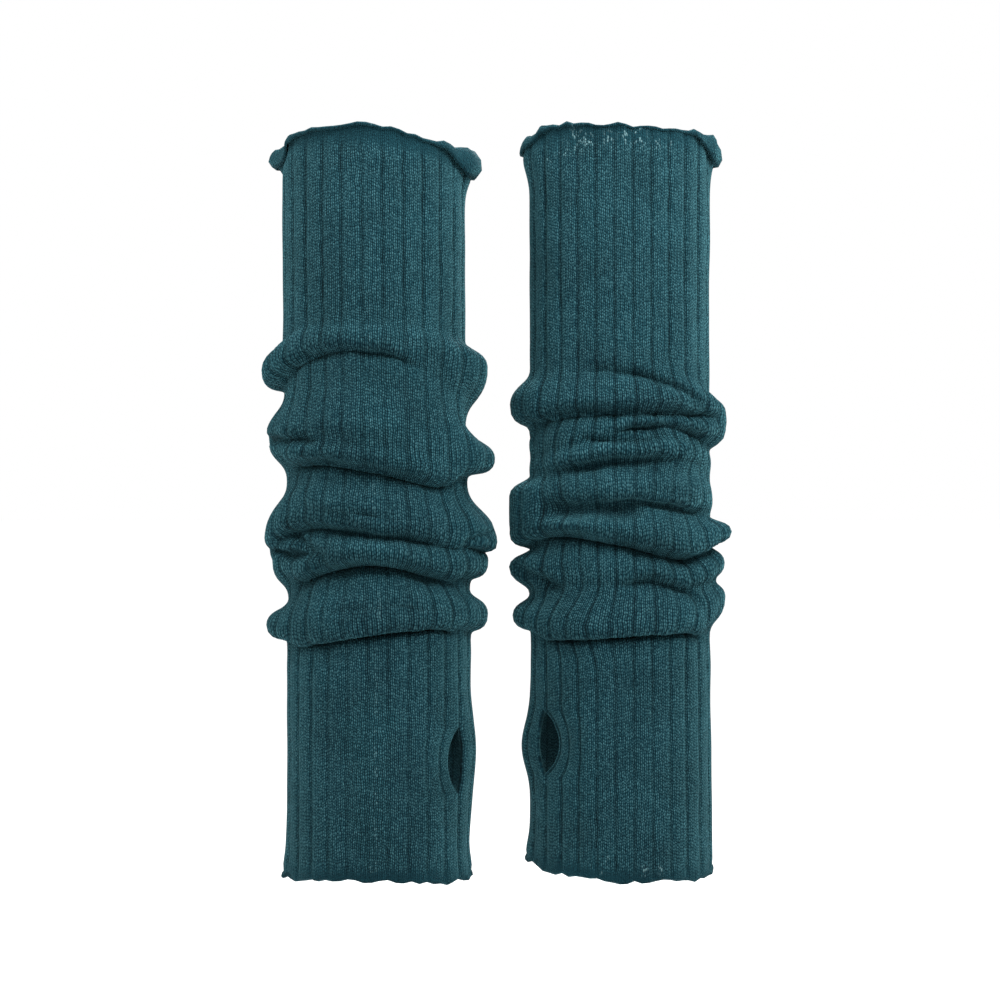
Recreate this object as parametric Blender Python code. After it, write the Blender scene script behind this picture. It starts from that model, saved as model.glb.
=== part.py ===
"""Pair of slouched wrist warmers, each one tube of wide rib knit with a thumb slit.

Metres, +Z up. +Z runs from the hand towards the elbow and -Y faces the viewer. The origin lies
on the axis of the left warmer, half way up, where the forearm fills the tube and holds it. Both
tubes keep the rounded, hollow form of a filled sleeve: their ends are open and their walls are
cloth. The left and right warmers are named as the viewer sees them.
"""

from collections import namedtuple
import math

import bmesh
import bpy
import numpy as np

MM = 0.001

# The knit
RIB_COUNT = 26              # ribs around a tube
POINTS_PER_RIB = 3          # outer points for each rib: one furrow and two shoulders
FURROW_REACH = 0.25         # a furrow's side, from its bottom to the rib's top, in ribs
INNER_POINTS_PER_RIB = 1    # the inside is plain
WALL = 1.5 * MM             # cloth thickness in the furrows
RIB_HEIGHT = 0.7 * MM       # how far a rib stands out of the furrows
RIM_FADE = 1.5              # how soon the ribs flatten out towards a rolled rim's free edge
COLUMN_COUNT = RIB_COUNT * POINTS_PER_RIB
INNER_COUNT = RIB_COUNT * INNER_POINTS_PER_RIB

# The pair
RIGHT_AXIS_X = 109.7 * MM   # from the left tube's axis to the right tube's axis

# Folds hang over the cloth below only where they bulge by more than this, so that the three
# layers of cloth in such a fold keep clear of each other.
FOLD_ROOM = 6.0 * MM
SLOPE_PULL = 0.52           # roundness of the cloth's way from a crease out to the next ridge
LIP_PULL = 0.80             # how squarely a ridge turns in to the crease below it
LIP_HANG = 0.55             # how far a lip hangs down for each unit of bulge over FOLD_ROOM

SLIT_REACH = 22 * MM        # how far from its line the open slit still crowds the cloth
SLIT_ROUNDNESS = 0.75       # 0.5 gives the slit an oval outline, 1 a pointed one
SLIT_FADING = 1.5           # how fast the crowding falls off away from the lips
SECOND_RIPPLE = 0.6         # a rim's ripples are two waves, the second one weaker
SECOND_RIPPLE_WAVES = 8     # and with this many more waves around the tube
SECOND_RIPPLE_START = 1.0   # where the second wave starts, in radians

# The eight places around a tube where folds are measured, every 45 degrees from +X (right)
# through +Y (back). The two at the back's sides are the means of their neighbours.
STATION_STEP = math.radians(45.0)

NUDGE = 0.02                # steps along and around the cloth that its slopes are read over
NUDGE_AROUND = 0.0006
ANGLE_SAMPLES = 2001
FRONT_SHARE = 0.75          # the front is three quarters of the way round from +X
FRONT_DEGREES = 270.0
KNIT_COLOUR = (0.024, 0.080, 0.100, 1.0)    # linear dark teal
KNIT_ROUGHNESS = 0.9

Section = namedtuple("Section", "height half_width half_depth sideways")
Around = namedtuple("Around", "left left_front front right_front right back")
Fold = namedtuple("Fold", "name steps lip height bulge")
Rim = namedtuple("Rim", "steps turn roll_out roll_height wave waves")
Slit = namedtuple("Slit", "angle height length width front_share")
Swell = namedtuple("Swell", "angle height rise spread reach")
Warmer = namedtuple("Warmer", "name axis_x furrow_shift sections folds top_rim bottom_rim slit swells")


# Sections are measured over the ribs, in millimetres; sideways is the lean of the tube's axis.
LEFT_SECTIONS = (
    Section(height=158, half_width=40.8, half_depth=37.0, sideways=-1.0),
    Section(height=75, half_width=40.9, half_depth=36.0, sideways=-0.7),
    Section(height=-70, half_width=41.0, half_depth=32.0, sideways=1.3),
    Section(height=-164, half_width=41.0, half_depth=31.0, sideways=1.0),
)
RIGHT_SECTIONS = (
    Section(height=162, half_width=40.6, half_depth=26.0, sideways=-0.3),
    Section(height=60, half_width=40.2, half_depth=27.0, sideways=-0.2),
    Section(height=-80, half_width=40.4, half_depth=28.5, sideways=0.0),
    Section(height=-164, half_width=40.8, half_depth=28.5, sideways=0.3),
)

# A row for each ridge and crease, from the top down. Heights and bulges are in millimetres at
# the six named places; lip is 1 where the cloth turns in sharply under the row, 0 where it slopes.
LEFT_FOLDS = (
    Fold("top_of_plain_cuff", 1, 0, Around(152, 155, 154, 150, 150, 153), Around(0, 0, 0, 0, 0, 0)),
    Fold("slouch_starts", 2, 0, Around(70, 77, 78, 76, 71, 75), Around(0, 0, 0, 0, 0, 0)),
    Fold("ridge_a", 3, 1, Around(57, 67, 68, 64, 60, 63), Around(9.7, 3.4, 2.2, 3.4, 9.6, 5.5)),
    Fold("crease_a", 2, 0, Around(46, 60, 62, 51, 31, 48), Around(-0.4, -0.6, 0.4, 2.2, -0.4, -0.8)),
    Fold("ridge_b", 3, 1, Around(29, 26, 24, 20, 19, 28), Around(7.7, 3.6, 3.8, 4.2, 12.0, 6.0)),
    Fold("crease_b", 2, 0, Around(7, 15, 12, 6, 8, 12), Around(-0.6, -1.1, -1.4, -1.0, -0.4, -1.0)),
    Fold("ridge_c", 2, 1, Around(-17, -4, -8, -13, -19, -9), Around(9.4, 3.2, 2.8, 3.8, 12.8, 5.5)),
    Fold("crease_c", 1, 0, Around(-23, -13, -16, -20, -24, -20), Around(7.0, 0.0, 0.5, 1.0, 8.0, 0.0)),
    Fold("ridge_d", 2, 1, Around(-28, -23, -22, -26, -27, -28), Around(5.8, 2.6, 2.9, 3.2, 8.8, 4.2)),
    Fold("crease_d", 2, 0, Around(-45, -34, -28, -34, -40, -39), Around(-0.8, -1.0, -1.3, -1.0, 0.4, -1.0)),
    Fold("ridge_e", 3, 1, Around(-56, -57, -53, -50, -51, -54), Around(9.0, 3.2, 3.3, 3.3, 8.2, 5.0)),
    Fold("crease_e", 2, 0, Around(-64, -63, -58, -56, -63, -64), Around(-0.3, -0.5, -0.5, -0.5, 0.4, -0.2)),
    Fold("slouch_ends", 1, 0, Around(-78, -78, -78, -78, -78, -78), Around(0, 0, 0, 0, 0, 0)),
    Fold("slit_top", 4, 0, Around(-100, -100, -100, -100, -100, -100), Around(0, 0, 0, 0, 0.6, 0)),
    Fold("slit_bottom", 1, 0, Around(-129, -129, -129, -129, -129, -129), Around(0, 0, 0, 0, 0.8, 0)),
    Fold("hem", 1, 0, Around(-163, -161, -160, -162, -164, -162), Around(0, 0, 0, 0, 0, 0)),
)
RIGHT_FOLDS = (
    Fold("top_of_plain_cuff", 1, 0, Around(157, 158, 157, 157, 155, 157), Around(0, 0, 0, 0, 0, 0)),
    Fold("slouch_starts", 2, 0, Around(59, 60, 60, 57, 46, 58), Around(0, 0, 0, 0, 0, 0)),
    Fold("ridge_a", 3, 1, Around(43, 41, 42, 43, 39, 42), Around(8.6, 3.2, 3.2, 3.4, 7.6, 5.0)),
    Fold("crease_a", 1, 0, Around(28, 36, 37, 37, 35, 31), Around(-0.2, -0.9, -1.2, -0.8, 8.0, -0.6)),
    Fold("ridge_a_small", 1, 0, Around(25, 27, 33, 32, 31, 24), Around(0.2, 0.8, 1.4, 2.4, 7.4, 2.4)),
    Fold("arch", 1, 0, Around(20, 22, 29, 27, 21, 17), Around(0.0, 0.4, 0.0, 0.0, -0.3, -0.2)),
    Fold("ridge_b", 1, 0, Around(15, 16, 21, 21, 16, 11), Around(0.2, 1.2, 2.6, 2.2, 0.1, 3.4)),
    Fold("crease_b", 2, 0, Around(11, 12, 15, 15, 11, 4), Around(0.2, 0.6, -0.8, -0.6, -0.2, -0.8)),
    Fold("ridge_c", 2, 0, Around(2, 2, 4, 2, 0, -6), Around(9.2, 3.6, 3.0, 3.0, 0.8, 5.2)),
    Fold("crease_c", 1, 0, Around(-8, -5, -1, -5, -8, -14), Around(9.6, 3.2, 0.4, -0.3, -0.1, -0.2)),
    Fold("ridge_d", 3, 1, Around(-15, -11, -13, -18, -14, -22), Around(9.0, 4.0, 3.4, 3.2, 9.8, 4.8)),
    Fold("crease_d", 2, 0, Around(-22, -16, -20, -26, -19, -31), Around(-0.4, -1.0, -1.4, -1.0, -0.2, -0.8)),
    Fold("ridge_e", 2, 0, Around(-30, -31, -32, -34, -28, -40), Around(9.0, 2.4, 1.8, 2.4, 6.8, 4.2)),
    Fold("crease_e", 1, 0, Around(-42, -40, -37, -38, -36, -49), Around(0.2, 0.8, 0.8, 0.4, 3.0, -0.2)),
    Fold("ridge_f", 3, 1, Around(-52, -55, -54, -51, -43, -58), Around(7.4, 3.2, 3.2, 3.4, 7.0, 4.4)),
    Fold("crease_f", 2, 0, Around(-60, -61, -59, -58, -63, -67), Around(-0.4, -0.6, -0.6, -0.5, -0.2, -0.3)),
    Fold("slouch_ends", 1, 0, Around(-79, -79, -79, -79, -79, -79), Around(0, 0, 0, 0, 0, 0)),
    Fold("slit_top", 4, 0, Around(-92, -92, -92, -92, -92, -92), Around(0, 0, 0, 0, 0, 0)),
    Fold("slit_bottom", 1, 0, Around(-121, -121, -121, -121, -121, -121), Around(0, 0, 0, 0, 0.4, 0)),
    Fold("hem", 1, 0, Around(-157, -158, -161, -162, -160, -160), Around(0, 0, 0, 0, 0.4, 0)),
)

# Rims roll outwards. turn is the roll's angle in degrees; sizes are in millimetres at the six
# places; wave is how far the free edge ripples up and down, and waves how often.
LEFT_TOP_RIM = Rim(5, 235, Around(6.0, 5.0, 5.0, 5.4, 9.6, 6.0), Around(11, 9, 9, 9, 15, 10), 0.3, 9)
LEFT_BOTTOM_RIM = Rim(2, 60, Around(2.0, 2.0, 2.0, 2.0, 2.0, 2.0), Around(8, 8, 8, 8, 8, 8), 0.4, 13)
RIGHT_TOP_RIM = Rim(4, 190, Around(4.4, 3.6, 3.6, 3.8, 6.2, 4.2), Around(11, 9, 9, 9, 11, 9), 0.5, 13)
RIGHT_BOTTOM_RIM = Rim(3, 110, Around(4.4, 3.6, 3.6, 3.6, 4.2, 3.6), Around(8, 7, 7, 7, 8, 8), 0.5, 13)

# Thumb slits: angle is where the slit's closed line runs, in degrees from +X. front_share is how
# much of the opening comes from the lip on the viewer's side.
LEFT_SLIT = Slit(angle=333.5, height=-114.5, length=28.5, width=9.2, front_share=0.75)
RIGHT_SLIT = Slit(angle=209, height=-106.5, length=28, width=12.0, front_share=0.75)

# Local swellings: the slack strip of cloth behind each slit stands out.
LEFT_SWELLS = (Swell(angle=352, height=-112, rise=2.4, spread=16, reach=18),)
RIGHT_SWELLS = (Swell(angle=188, height=-110, rise=4.2, spread=15, reach=13),)

# furrow_shift is how far the furrow nearest the front lies past it, in ribs, towards +X.
LEFT_WARMER = Warmer(
    name="left_warmer",
    axis_x=0.0,
    furrow_shift=-0.24,
    sections=LEFT_SECTIONS,
    folds=LEFT_FOLDS,
    top_rim=LEFT_TOP_RIM,
    bottom_rim=LEFT_BOTTOM_RIM,
    slit=LEFT_SLIT,
    swells=LEFT_SWELLS,
)
RIGHT_WARMER = Warmer(
    name="right_warmer",
    axis_x=RIGHT_AXIS_X,
    furrow_shift=0.49,
    sections=RIGHT_SECTIONS,
    folds=RIGHT_FOLDS,
    top_rim=RIGHT_TOP_RIM,
    bottom_rim=RIGHT_BOTTOM_RIM,
    slit=RIGHT_SLIT,
    swells=RIGHT_SWELLS,
)


def stations(values):
    """The eight values around a tube, in metres, from six named ones in millimetres."""
    back_right = (values.right + values.back) / 2
    back_left = (values.left + values.back) / 2
    ring = (values.right, back_right, values.back, back_left)
    ring += (values.left, values.left_front, values.front, values.right_front)
    return np.array(ring) * MM


def smooth_around(ring, angles):
    """The ring's eight values carried smoothly round the tube, read at the given angles."""
    place = np.mod(angles / STATION_STEP, 8.0)
    first = np.floor(place).astype(int)
    part = place - first
    before, here = ring[(first - 1) % 8], ring[first % 8]
    after, beyond = ring[(first + 1) % 8], ring[(first + 2) % 8]
    slope_here = (after - before) / 2
    slope_after = (beyond - here) / 2
    cubic = 2 * here - 2 * after + slope_here + slope_after
    square = 3 * (after - here) - 2 * slope_here - slope_after
    return ((cubic * part + square) * part + slope_here) * part + here


def angle_table(sections):
    """Section angles at equal steps of arc length, so that ribs are equally wide all round."""
    half_width = np.mean([row.half_width for row in sections])
    half_depth = np.mean([row.half_depth for row in sections])
    angles = np.linspace(0.0, 2 * math.pi, ANGLE_SAMPLES)
    speed = np.hypot(half_width * np.sin(angles), half_depth * np.cos(angles))
    steps = (speed[1:] + speed[:-1]) / 2
    arc = np.concatenate([[0.0], np.cumsum(steps)])
    return arc / arc[-1], angles


class Tube:
    """One warmer's middle surface: a section, swept down through its folds and rims."""

    def __init__(self, warmer):
        self.warmer = warmer
        self.arc, self.angles = angle_table(warmer.sections)
        heights = [row.height * MM for row in warmer.sections]
        order = np.argsort(heights)
        self.levels = np.array(heights)[order]
        over_ribs = WALL / 2 + RIB_HEIGHT
        self.widths = np.array([row.half_width * MM for row in warmer.sections])[order] - over_ribs
        self.depths = np.array([row.half_depth * MM for row in warmer.sections])[order] - over_ribs
        self.leans = np.array([row.sideways * MM for row in warmer.sections])[order]
        mean_square = (np.mean(self.widths) ** 2 + np.mean(self.depths) ** 2) / 2
        self.perimeter = 2 * math.pi * math.sqrt(mean_square)
        self.slit_share = self.slit_column_share()

    def slit_column_share(self):
        """The share of the way round where the slit runs: the column of points nearest its angle."""
        stated = np.interp(math.radians(self.warmer.slit.angle), self.angles, self.arc)
        shift = self.warmer.furrow_shift
        columns = round(((stated - FRONT_SHARE) * RIB_COUNT - shift) * POINTS_PER_RIB)
        return FRONT_SHARE + (columns / POINTS_PER_RIB + shift) / RIB_COUNT

    def angle_at(self, share):
        """The section angle at this share of the way round."""
        return np.interp(np.mod(share, 1.0), self.arc, self.angles)

    def ring_places(self):
        """Every ring from the top free edge to the bottom one: the part it is in, and where."""
        top, bottom, folds = self.warmer.top_rim, self.warmer.bottom_rim, self.warmer.folds
        places = [("top", 1.0 - step / top.steps) for step in range(top.steps)]
        for row, fold in enumerate(folds[:-1]):
            places += [("fold", row + step / fold.steps) for step in range(fold.steps)]
        places.append(("fold", len(folds) - 1.0))
        places += [("bottom", (step + 1) / bottom.steps) for step in range(bottom.steps)]
        return places

    def profile(self, place, angles):
        """Height and bulge of a ring at the given section angles."""
        part, where = place
        folds = self.warmer.folds
        if part == "fold":
            row = min(int(where), len(folds) - 2)
            return self.between(folds[row], folds[row + 1], where - row, angles)
        rim = self.warmer.top_rim if part == "top" else self.warmer.bottom_rim
        fold = folds[0] if part == "top" else folds[-1]
        way = 1.0 if part == "top" else -1.0
        turn = math.radians(rim.turn) * where
        half_out = smooth_around(stations(rim.roll_out), angles) / 2
        half_high = smooth_around(stations(rim.roll_height), angles) / 2
        ripple = np.sin(rim.waves * angles)
        finer = (rim.waves + SECOND_RIPPLE_WAVES) * angles + SECOND_RIPPLE_START
        ripple = ripple + SECOND_RIPPLE * np.sin(finer)
        height = smooth_around(stations(fold.height), angles) + way * half_high * math.sin(turn)
        height = height + rim.wave * MM * ripple * where
        bulge = smooth_around(stations(fold.bulge), angles) + half_out * (1 - math.cos(turn))
        return height, bulge

    def between(self, upper, lower, part, angles):
        """The cloth's way from one fold row to the next, leaving and arriving straight down."""
        high = smooth_around(stations(upper.height), angles)
        low = smooth_around(stations(lower.height), angles)
        out_high = smooth_around(stations(upper.bulge), angles)
        out_low = smooth_around(stations(lower.bulge), angles)
        drop = high - low
        step_in = np.abs(out_high - out_low)
        slope = SLOPE_PULL * drop
        lip = np.minimum(drop, LIP_PULL * step_in + SLOPE_PULL * drop / 2)
        lip = lip + LIP_HANG * np.maximum(0.0, step_in - FOLD_ROOM)
        pull = slope + upper.lip * (lip - slope)
        rest = 1.0 - part
        first, second, third, fourth = rest**3, 3 * rest**2 * part, 3 * rest * part**2, part**3
        height = first * high + second * (high - pull) + third * (low + pull) + fourth * low
        bulge = (first + second) * out_high + (third + fourth) * out_low
        return height, bulge

    def slit_gap(self, height):
        """How far the slit's lips stand apart at this height, and 0 above and below it."""
        slit = self.warmer.slit
        part = (height / MM - slit.height) / (slit.length / 2)
        return slit.width * MM * np.maximum(0.0, 1 - part**2) ** SLIT_ROUNDNESS

    def parting(self, place, shares, side):
        """How far the open slit moves the cloth round the tube, most at its lips."""
        slit = self.warmer.slit
        away = shares - self.slit_share
        away = away - np.where(side == 0, np.round(away), 0.0)
        away = np.where(side < 0, away - 1.0, away)
        height, _ = self.profile(place, self.angle_at(shares))
        way = np.where(side == 0, np.sign(away), side)
        front_way = -1 if slit.angle > FRONT_DEGREES else 1
        portion = np.where(way == front_way, slit.front_share, 1 - slit.front_share)
        fading = np.maximum(0.0, 1 - np.abs(away) * self.perimeter / SLIT_REACH) ** SLIT_FADING
        return way * portion * self.slit_gap(height) * fading / self.perimeter

    def points(self, place, shares, side):
        """Points of the middle surface on one ring. side tells the slit's two lips apart."""
        warmer = self.warmer
        angles = self.angle_at(shares + self.parting(place, shares, side))
        height, bulge = self.profile(place, angles)
        for swell in warmer.swells:
            turned = np.degrees(angles) - swell.angle
            turned = (turned + 180) % 360 - 180
            climb = height / MM - swell.height
            falling = (turned / swell.spread) ** 2 + (climb / swell.reach) ** 2
            bulge = bulge + swell.rise * MM * np.exp(-falling)
        half_width = np.interp(height, self.levels, self.widths)
        half_depth = np.interp(height, self.levels, self.depths)
        lean = np.interp(height, self.levels, self.leans)
        out_x, out_y = np.cos(angles) / half_width, np.sin(angles) / half_depth
        length = np.hypot(out_x, out_y)
        x = warmer.axis_x + lean + half_width * np.cos(angles) + bulge * out_x / length
        y = half_depth * np.sin(angles) + bulge * out_y / length
        return np.stack([x, y, height], axis=-1)

    def normals(self, place, shares, side):
        """Outward directions of the middle surface on one ring."""
        part, where = place
        last = len(self.warmer.folds) - 1.0 if part == "fold" else 1.0
        before = (part, max(where - NUDGE, 0.0))
        after = (part, min(where + NUDGE, last))
        upward = self.points(before, shares, side) - self.points(after, shares, side)
        if part == "top":
            upward = -upward
        ahead = np.where(side < 0, 0.0, NUDGE_AROUND)
        behind = np.where(side > 0, 0.0, NUDGE_AROUND)
        around = self.points(place, shares + ahead, side) - self.points(place, shares - behind, side)
        normal = np.cross(around, upward)
        return normal / np.linalg.norm(normal, axis=-1, keepdims=True)


def rib_relief(shares, furrow_shift):
    """1 on a rib and 0 in the furrow between two ribs."""
    place = np.mod((shares - FRONT_SHARE) * RIB_COUNT - furrow_shift + 0.5, 1.0) - 0.5
    return np.minimum(1.0, np.abs(place) / FURROW_REACH)


def column_shares(tube, count):
    """Shares of the way round for a ring's columns, from the slit's line round to it again."""
    shares = tube.slit_share + np.arange(count + 1) / count
    side = np.zeros(count + 1, dtype=int)
    side[0], side[-1] = 1, -1
    return shares, side


def ring_points(tube, place, count, offset, relief):
    """One ring of wall points, moved out of the middle surface by offset plus the ribs."""
    shares, side = column_shares(tube, count)
    middle = tube.points(place, shares, side)
    normal = tube.normals(place, shares, side)
    height = relief * rib_relief(shares, tube.warmer.furrow_shift)
    return middle + normal * (offset + height)[:, None]


def in_slit(tube, place):
    """Whether a ring crosses the slit between its two ends."""
    part, where = place
    names = [fold.name for fold in tube.warmer.folds]
    return part == "fold" and names.index("slit_top") < where < names.index("slit_bottom")


def add_layer(mesh, tube, places, count, offset, relief):
    """The rings of one side of the wall, as rows of vertices. Uncut rings close on themselves."""
    rows = []
    for place in places:
        fade = 1.0 if place[0] == "fold" else max(0.0, 1.0 - RIM_FADE * place[1])
        points = ring_points(tube, place, count, offset, relief * fade)
        row = [mesh.verts.new(point) for point in points[:-1]]
        row.append(mesh.verts.new(points[-1]) if in_slit(tube, place) else row[0])
        rows.append(row)
    return rows


def skin(mesh, rows, flip):
    """Quads between neighbouring rings."""
    for upper, lower in zip(rows, rows[1:]):
        for column in range(len(upper) - 1):
            corners = [upper[column], lower[column], lower[column + 1], upper[column + 1]]
            mesh.faces.new(corners[::-1] if flip else corners)


def close_rim(mesh, outer, inner, flip):
    """The narrow face at a free edge, from many outer points to fewer inner ones."""
    ratio = (len(outer) - 1) // (len(inner) - 1)
    for step in range(len(inner) - 1):
        start = step * ratio
        middle = start + ratio // 2
        faces = [[inner[step], outer[j], outer[j + 1]] for j in range(start, middle)]
        faces.append([inner[step], outer[middle], inner[step + 1]])
        faces += [[inner[step + 1], outer[j], outer[j + 1]] for j in range(middle, start + ratio)]
        for face in faces:
            mesh.faces.new(face[::-1] if flip else face)


def close_slit(mesh, tube, places, outer, inner):
    """The two lips of the thumb slit, from the outer side of the wall to the inner."""
    cut = [number for number, place in enumerate(places) if in_slit(tube, place)]
    for upper in range(cut[0] - 1, cut[-1] + 1):
        lower = upper + 1
        mesh.faces.new([outer[upper][0], inner[upper][0], inner[lower][0], outer[lower][0]])
        mesh.faces.new([outer[upper][-1], outer[lower][-1], inner[lower][-1], inner[upper][-1]])


def knit_material(name):
    """Dull dark teal yarn."""
    material = bpy.data.materials.new(name)
    material.use_nodes = True
    shader = material.node_tree.nodes["Principled BSDF"]
    shader.inputs["Base Color"].default_value = KNIT_COLOUR
    shader.inputs["Roughness"].default_value = KNIT_ROUGHNESS
    shader.inputs["Metallic"].default_value = 0.0
    return material


def build_warmer(warmer, collection):
    """One closed solid of cloth, lofted ring by ring between unlike sections."""
    tube = Tube(warmer)
    places = tube.ring_places()
    mesh = bmesh.new()
    outer = add_layer(mesh, tube, places, COLUMN_COUNT, WALL / 2, RIB_HEIGHT)
    inner = add_layer(mesh, tube, places, INNER_COUNT, -WALL / 2, 0.0)
    skin(mesh, outer, flip=False)
    skin(mesh, inner, flip=True)
    close_rim(mesh, outer[0], inner[0], flip=False)
    close_rim(mesh, outer[-1], inner[-1], flip=True)
    close_slit(mesh, tube, places, outer, inner)
    bmesh.ops.triangulate(mesh, faces=mesh.faces[:])
    data = bpy.data.meshes.new(warmer.name)
    mesh.to_mesh(data)
    mesh.free()
    data.shade_smooth()
    data.materials.append(knit_material(warmer.name + "_knit"))
    piece = bpy.data.objects.new(warmer.name, data)
    collection.objects.link(piece)
    return piece


def main():
    """Empty the scene and build both warmers in a collection of their own."""
    for item in list(bpy.data.objects):
        bpy.data.objects.remove(item, do_unlink=True)
    collection = bpy.data.collections.new("wrist_warmers")
    bpy.context.scene.collection.children.link(collection)
    for warmer in (LEFT_WARMER, RIGHT_WARMER):
        build_warmer(warmer, collection)


main()
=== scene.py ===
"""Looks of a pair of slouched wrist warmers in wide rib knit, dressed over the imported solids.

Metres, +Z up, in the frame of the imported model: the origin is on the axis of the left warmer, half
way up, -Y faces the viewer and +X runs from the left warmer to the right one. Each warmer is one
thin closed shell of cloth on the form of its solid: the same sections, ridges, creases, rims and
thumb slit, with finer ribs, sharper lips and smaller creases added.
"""

import logging
import math
from dataclasses import dataclass
from enum import Enum
from typing import Any, Iterator, NamedTuple

import bpy
import numpy as np
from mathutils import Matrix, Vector


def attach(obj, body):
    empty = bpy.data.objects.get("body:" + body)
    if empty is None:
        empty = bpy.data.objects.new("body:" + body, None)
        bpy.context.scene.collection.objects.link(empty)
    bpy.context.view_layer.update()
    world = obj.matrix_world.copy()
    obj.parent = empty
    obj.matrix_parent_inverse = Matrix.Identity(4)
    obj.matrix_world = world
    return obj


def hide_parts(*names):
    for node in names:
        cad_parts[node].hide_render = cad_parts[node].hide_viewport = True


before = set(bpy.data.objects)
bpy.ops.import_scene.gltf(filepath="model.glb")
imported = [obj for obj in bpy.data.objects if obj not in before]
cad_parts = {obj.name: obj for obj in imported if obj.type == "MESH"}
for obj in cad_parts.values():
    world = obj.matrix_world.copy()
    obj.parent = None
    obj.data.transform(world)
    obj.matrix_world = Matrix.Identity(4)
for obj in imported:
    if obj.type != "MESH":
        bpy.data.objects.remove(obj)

LOG = logging.getLogger("wrist_warmers")

Tree = bpy.types.NodeTree
Socket = bpy.types.NodeSocket

MM = 0.001
FULL_TURN = 2 * math.pi
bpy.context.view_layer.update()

# The knit. A wale is a column of stitches, about 1.8 mm wide here, and a course is a row of them,
# about three quarters as high as a wale is wide. Each rib has furrows a little deeper or shallower
# than the next one's, by two sines of its number, and is rounded at its crown. A furrow's width
# counts in wales.
RIB_COUNT = 26
WALES_PER_RIB = 5
WALE_COUNT = RIB_COUNT * WALES_PER_RIB
COLUMNS_PER_WALE = 2
INNER_COLUMNS = WALE_COUNT // 2
COURSE = 1.4 * MM
RING_STEP = 1.5 * MM
WALL = 1.1 * MM
RIB_HEIGHT = 1.0 * MM
RIB_UNEVENNESS = 0.20
RIB_CHANGES = (2.4, 1.7)
RIB_CHANGE_CLIMB = 31.0
RIB_CROWN = 0.15
FURROW_WALES = 0.56
WALE_HEIGHT = 0.12 * MM

# Where the knit changes. Between the slouch's two heights, in millimetres, the furrows are a little
# shallower. Over a ridge the wales are bunched and stand higher, and in a crease the outer half of
# the wall is pressed thin.
SLOUCH_TOP = 82.0
SLOUCH_BOTTOM = -72.0
SLOUCH_FADE = 16.0
SLACK_FURROWS = 0.15
BUNCHING = 2.5
BUNCH_REACH = 6.0 * MM
BUNCH_BELOW = 0.3
PRESSING = 0.85
PRESSING_FULLNESS = 1.6

# Felting, from 0 to 1, at the rims, the hems and the lobes on the sides. It evens out the knit and
# darkens it: on the rims and hems that is in part the felt's own duller tone and in part painted
# shade under the rolls. It fades out over the covered height, and a rim that keeps its ribs gets
# less of it. Ribs die out along a roll.
COVERED = 6.0 * MM
RIBBED_LOSS = 0.3
HEM_FELT_AND_SHADE = 1.0
HEM_START = 0.6
LOBE_FELT = 0.36
ROLL_FADE = 1.3
ROLL_FELT_AND_SHADE = 1.2
ROLL_FELT_AND_SHADE_START = 3.0

# The tube's section.
ANGLE_SAMPLES = 2001
FRONT_SHARE = 0.75
FRONT_DEGREES = 270.0
STATION_STEP = math.radians(45.0)
RIGHT_AXIS_X = 109.7 * MM

# The way of the cloth through a fold. On the sides it follows the solid's way. On the front and
# back, a lip hangs almost down to its crease and tucks in sharply under itself.
FOLD_ROOM = 5.0 * MM
SLOPE_PULL = 0.52
LIP_PULL = 0.80
LIP_LIMIT = 0.76
LIP_HANG = 0.15
FACING_START = 0.4
FACING_FADE = 0.3
TUCK_LEAVING = 1.40
TUCK_ARRIVING = 0.12
TUCK_STEP = 3.0 * MM
TUCK_START = 0.3

# A listed crease. It runs at full depth over the middle of its way and tapers to both ends. Its
# lip lies above it, and its reach counts in its widths.
CREASE_FULLNESS = 1.25
CREASE_UNEVENNESS = 0.14
CREASE_BELOW = 3.5
CREASE_ABOVE = 5.0
CREASE_LIP_PLACE = 1.7
CREASE_LIP_RISE = 0.6
CREASE_LIP_DROP = 0.3
# A crease this deep, in millimetres, has its full painted shade and its ribs pressed flattest.
DEEP_CREASE = 2.8


class Stretch(Enum):
    """The three stretches of cloth down a tube."""

    TOP_RIM = "top rim"
    CLOTH = "cloth"
    BOTTOM_RIM = "bottom rim"


# A ring's stretch, and where in it. On the cloth it counts in fold rows from the top, and in a rim
# it runs from 0 at the cloth to 1 at the free edge.
Place = tuple[Stretch, float]


class Around(NamedTuple):
    """A measure at six places around a tube, in millimetres, or in degrees for a rim's turn."""

    left: float
    left_front: float
    front: float
    right_front: float
    right: float
    back: float

    def stations(self) -> np.ndarray:
        """The eight values at every 45 degrees from +X, in metres."""
        back_right = (self.right + self.back) / 2
        back_left = (self.left + self.back) / 2
        ring = (self.right, back_right, self.back, back_left)
        ring += (self.left, self.left_front, self.front, self.right_front)
        return np.array(ring) * MM

    def smooth(self, angles: np.ndarray) -> np.ndarray:
        """The measure carried smoothly round the tube.

        Args:
            angles: section angles, in radians from +X.

        Returns:
            The measure at each angle, in metres. A turn comes as thousandths of its degrees.
        """
        ring = self.stations()
        place = np.mod(angles / STATION_STEP, 8.0)
        first = np.floor(place).astype(int)
        part = place - first
        before, here = ring[(first - 1) % 8], ring[first % 8]
        after, beyond = ring[(first + 1) % 8], ring[(first + 2) % 8]
        slope_here = (after - before) / 2
        slope_after = (beyond - here) / 2
        cubic = 2 * here - 2 * after + slope_here + slope_after
        square = 3 * (after - here) - 2 * slope_here - slope_after
        return ((cubic * part + square) * part + slope_here) * part + here


class Section(NamedTuple):
    """The tube's section over its ribs at one height, in millimetres."""

    height: float
    half_width: float
    half_depth: float
    sideways: float


class Fold(NamedTuple):
    """One ridge or crease all round. lip is 1 where the cloth turns in sharply under it."""

    name: str
    lip: float
    height: Around
    bulge: Around


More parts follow.
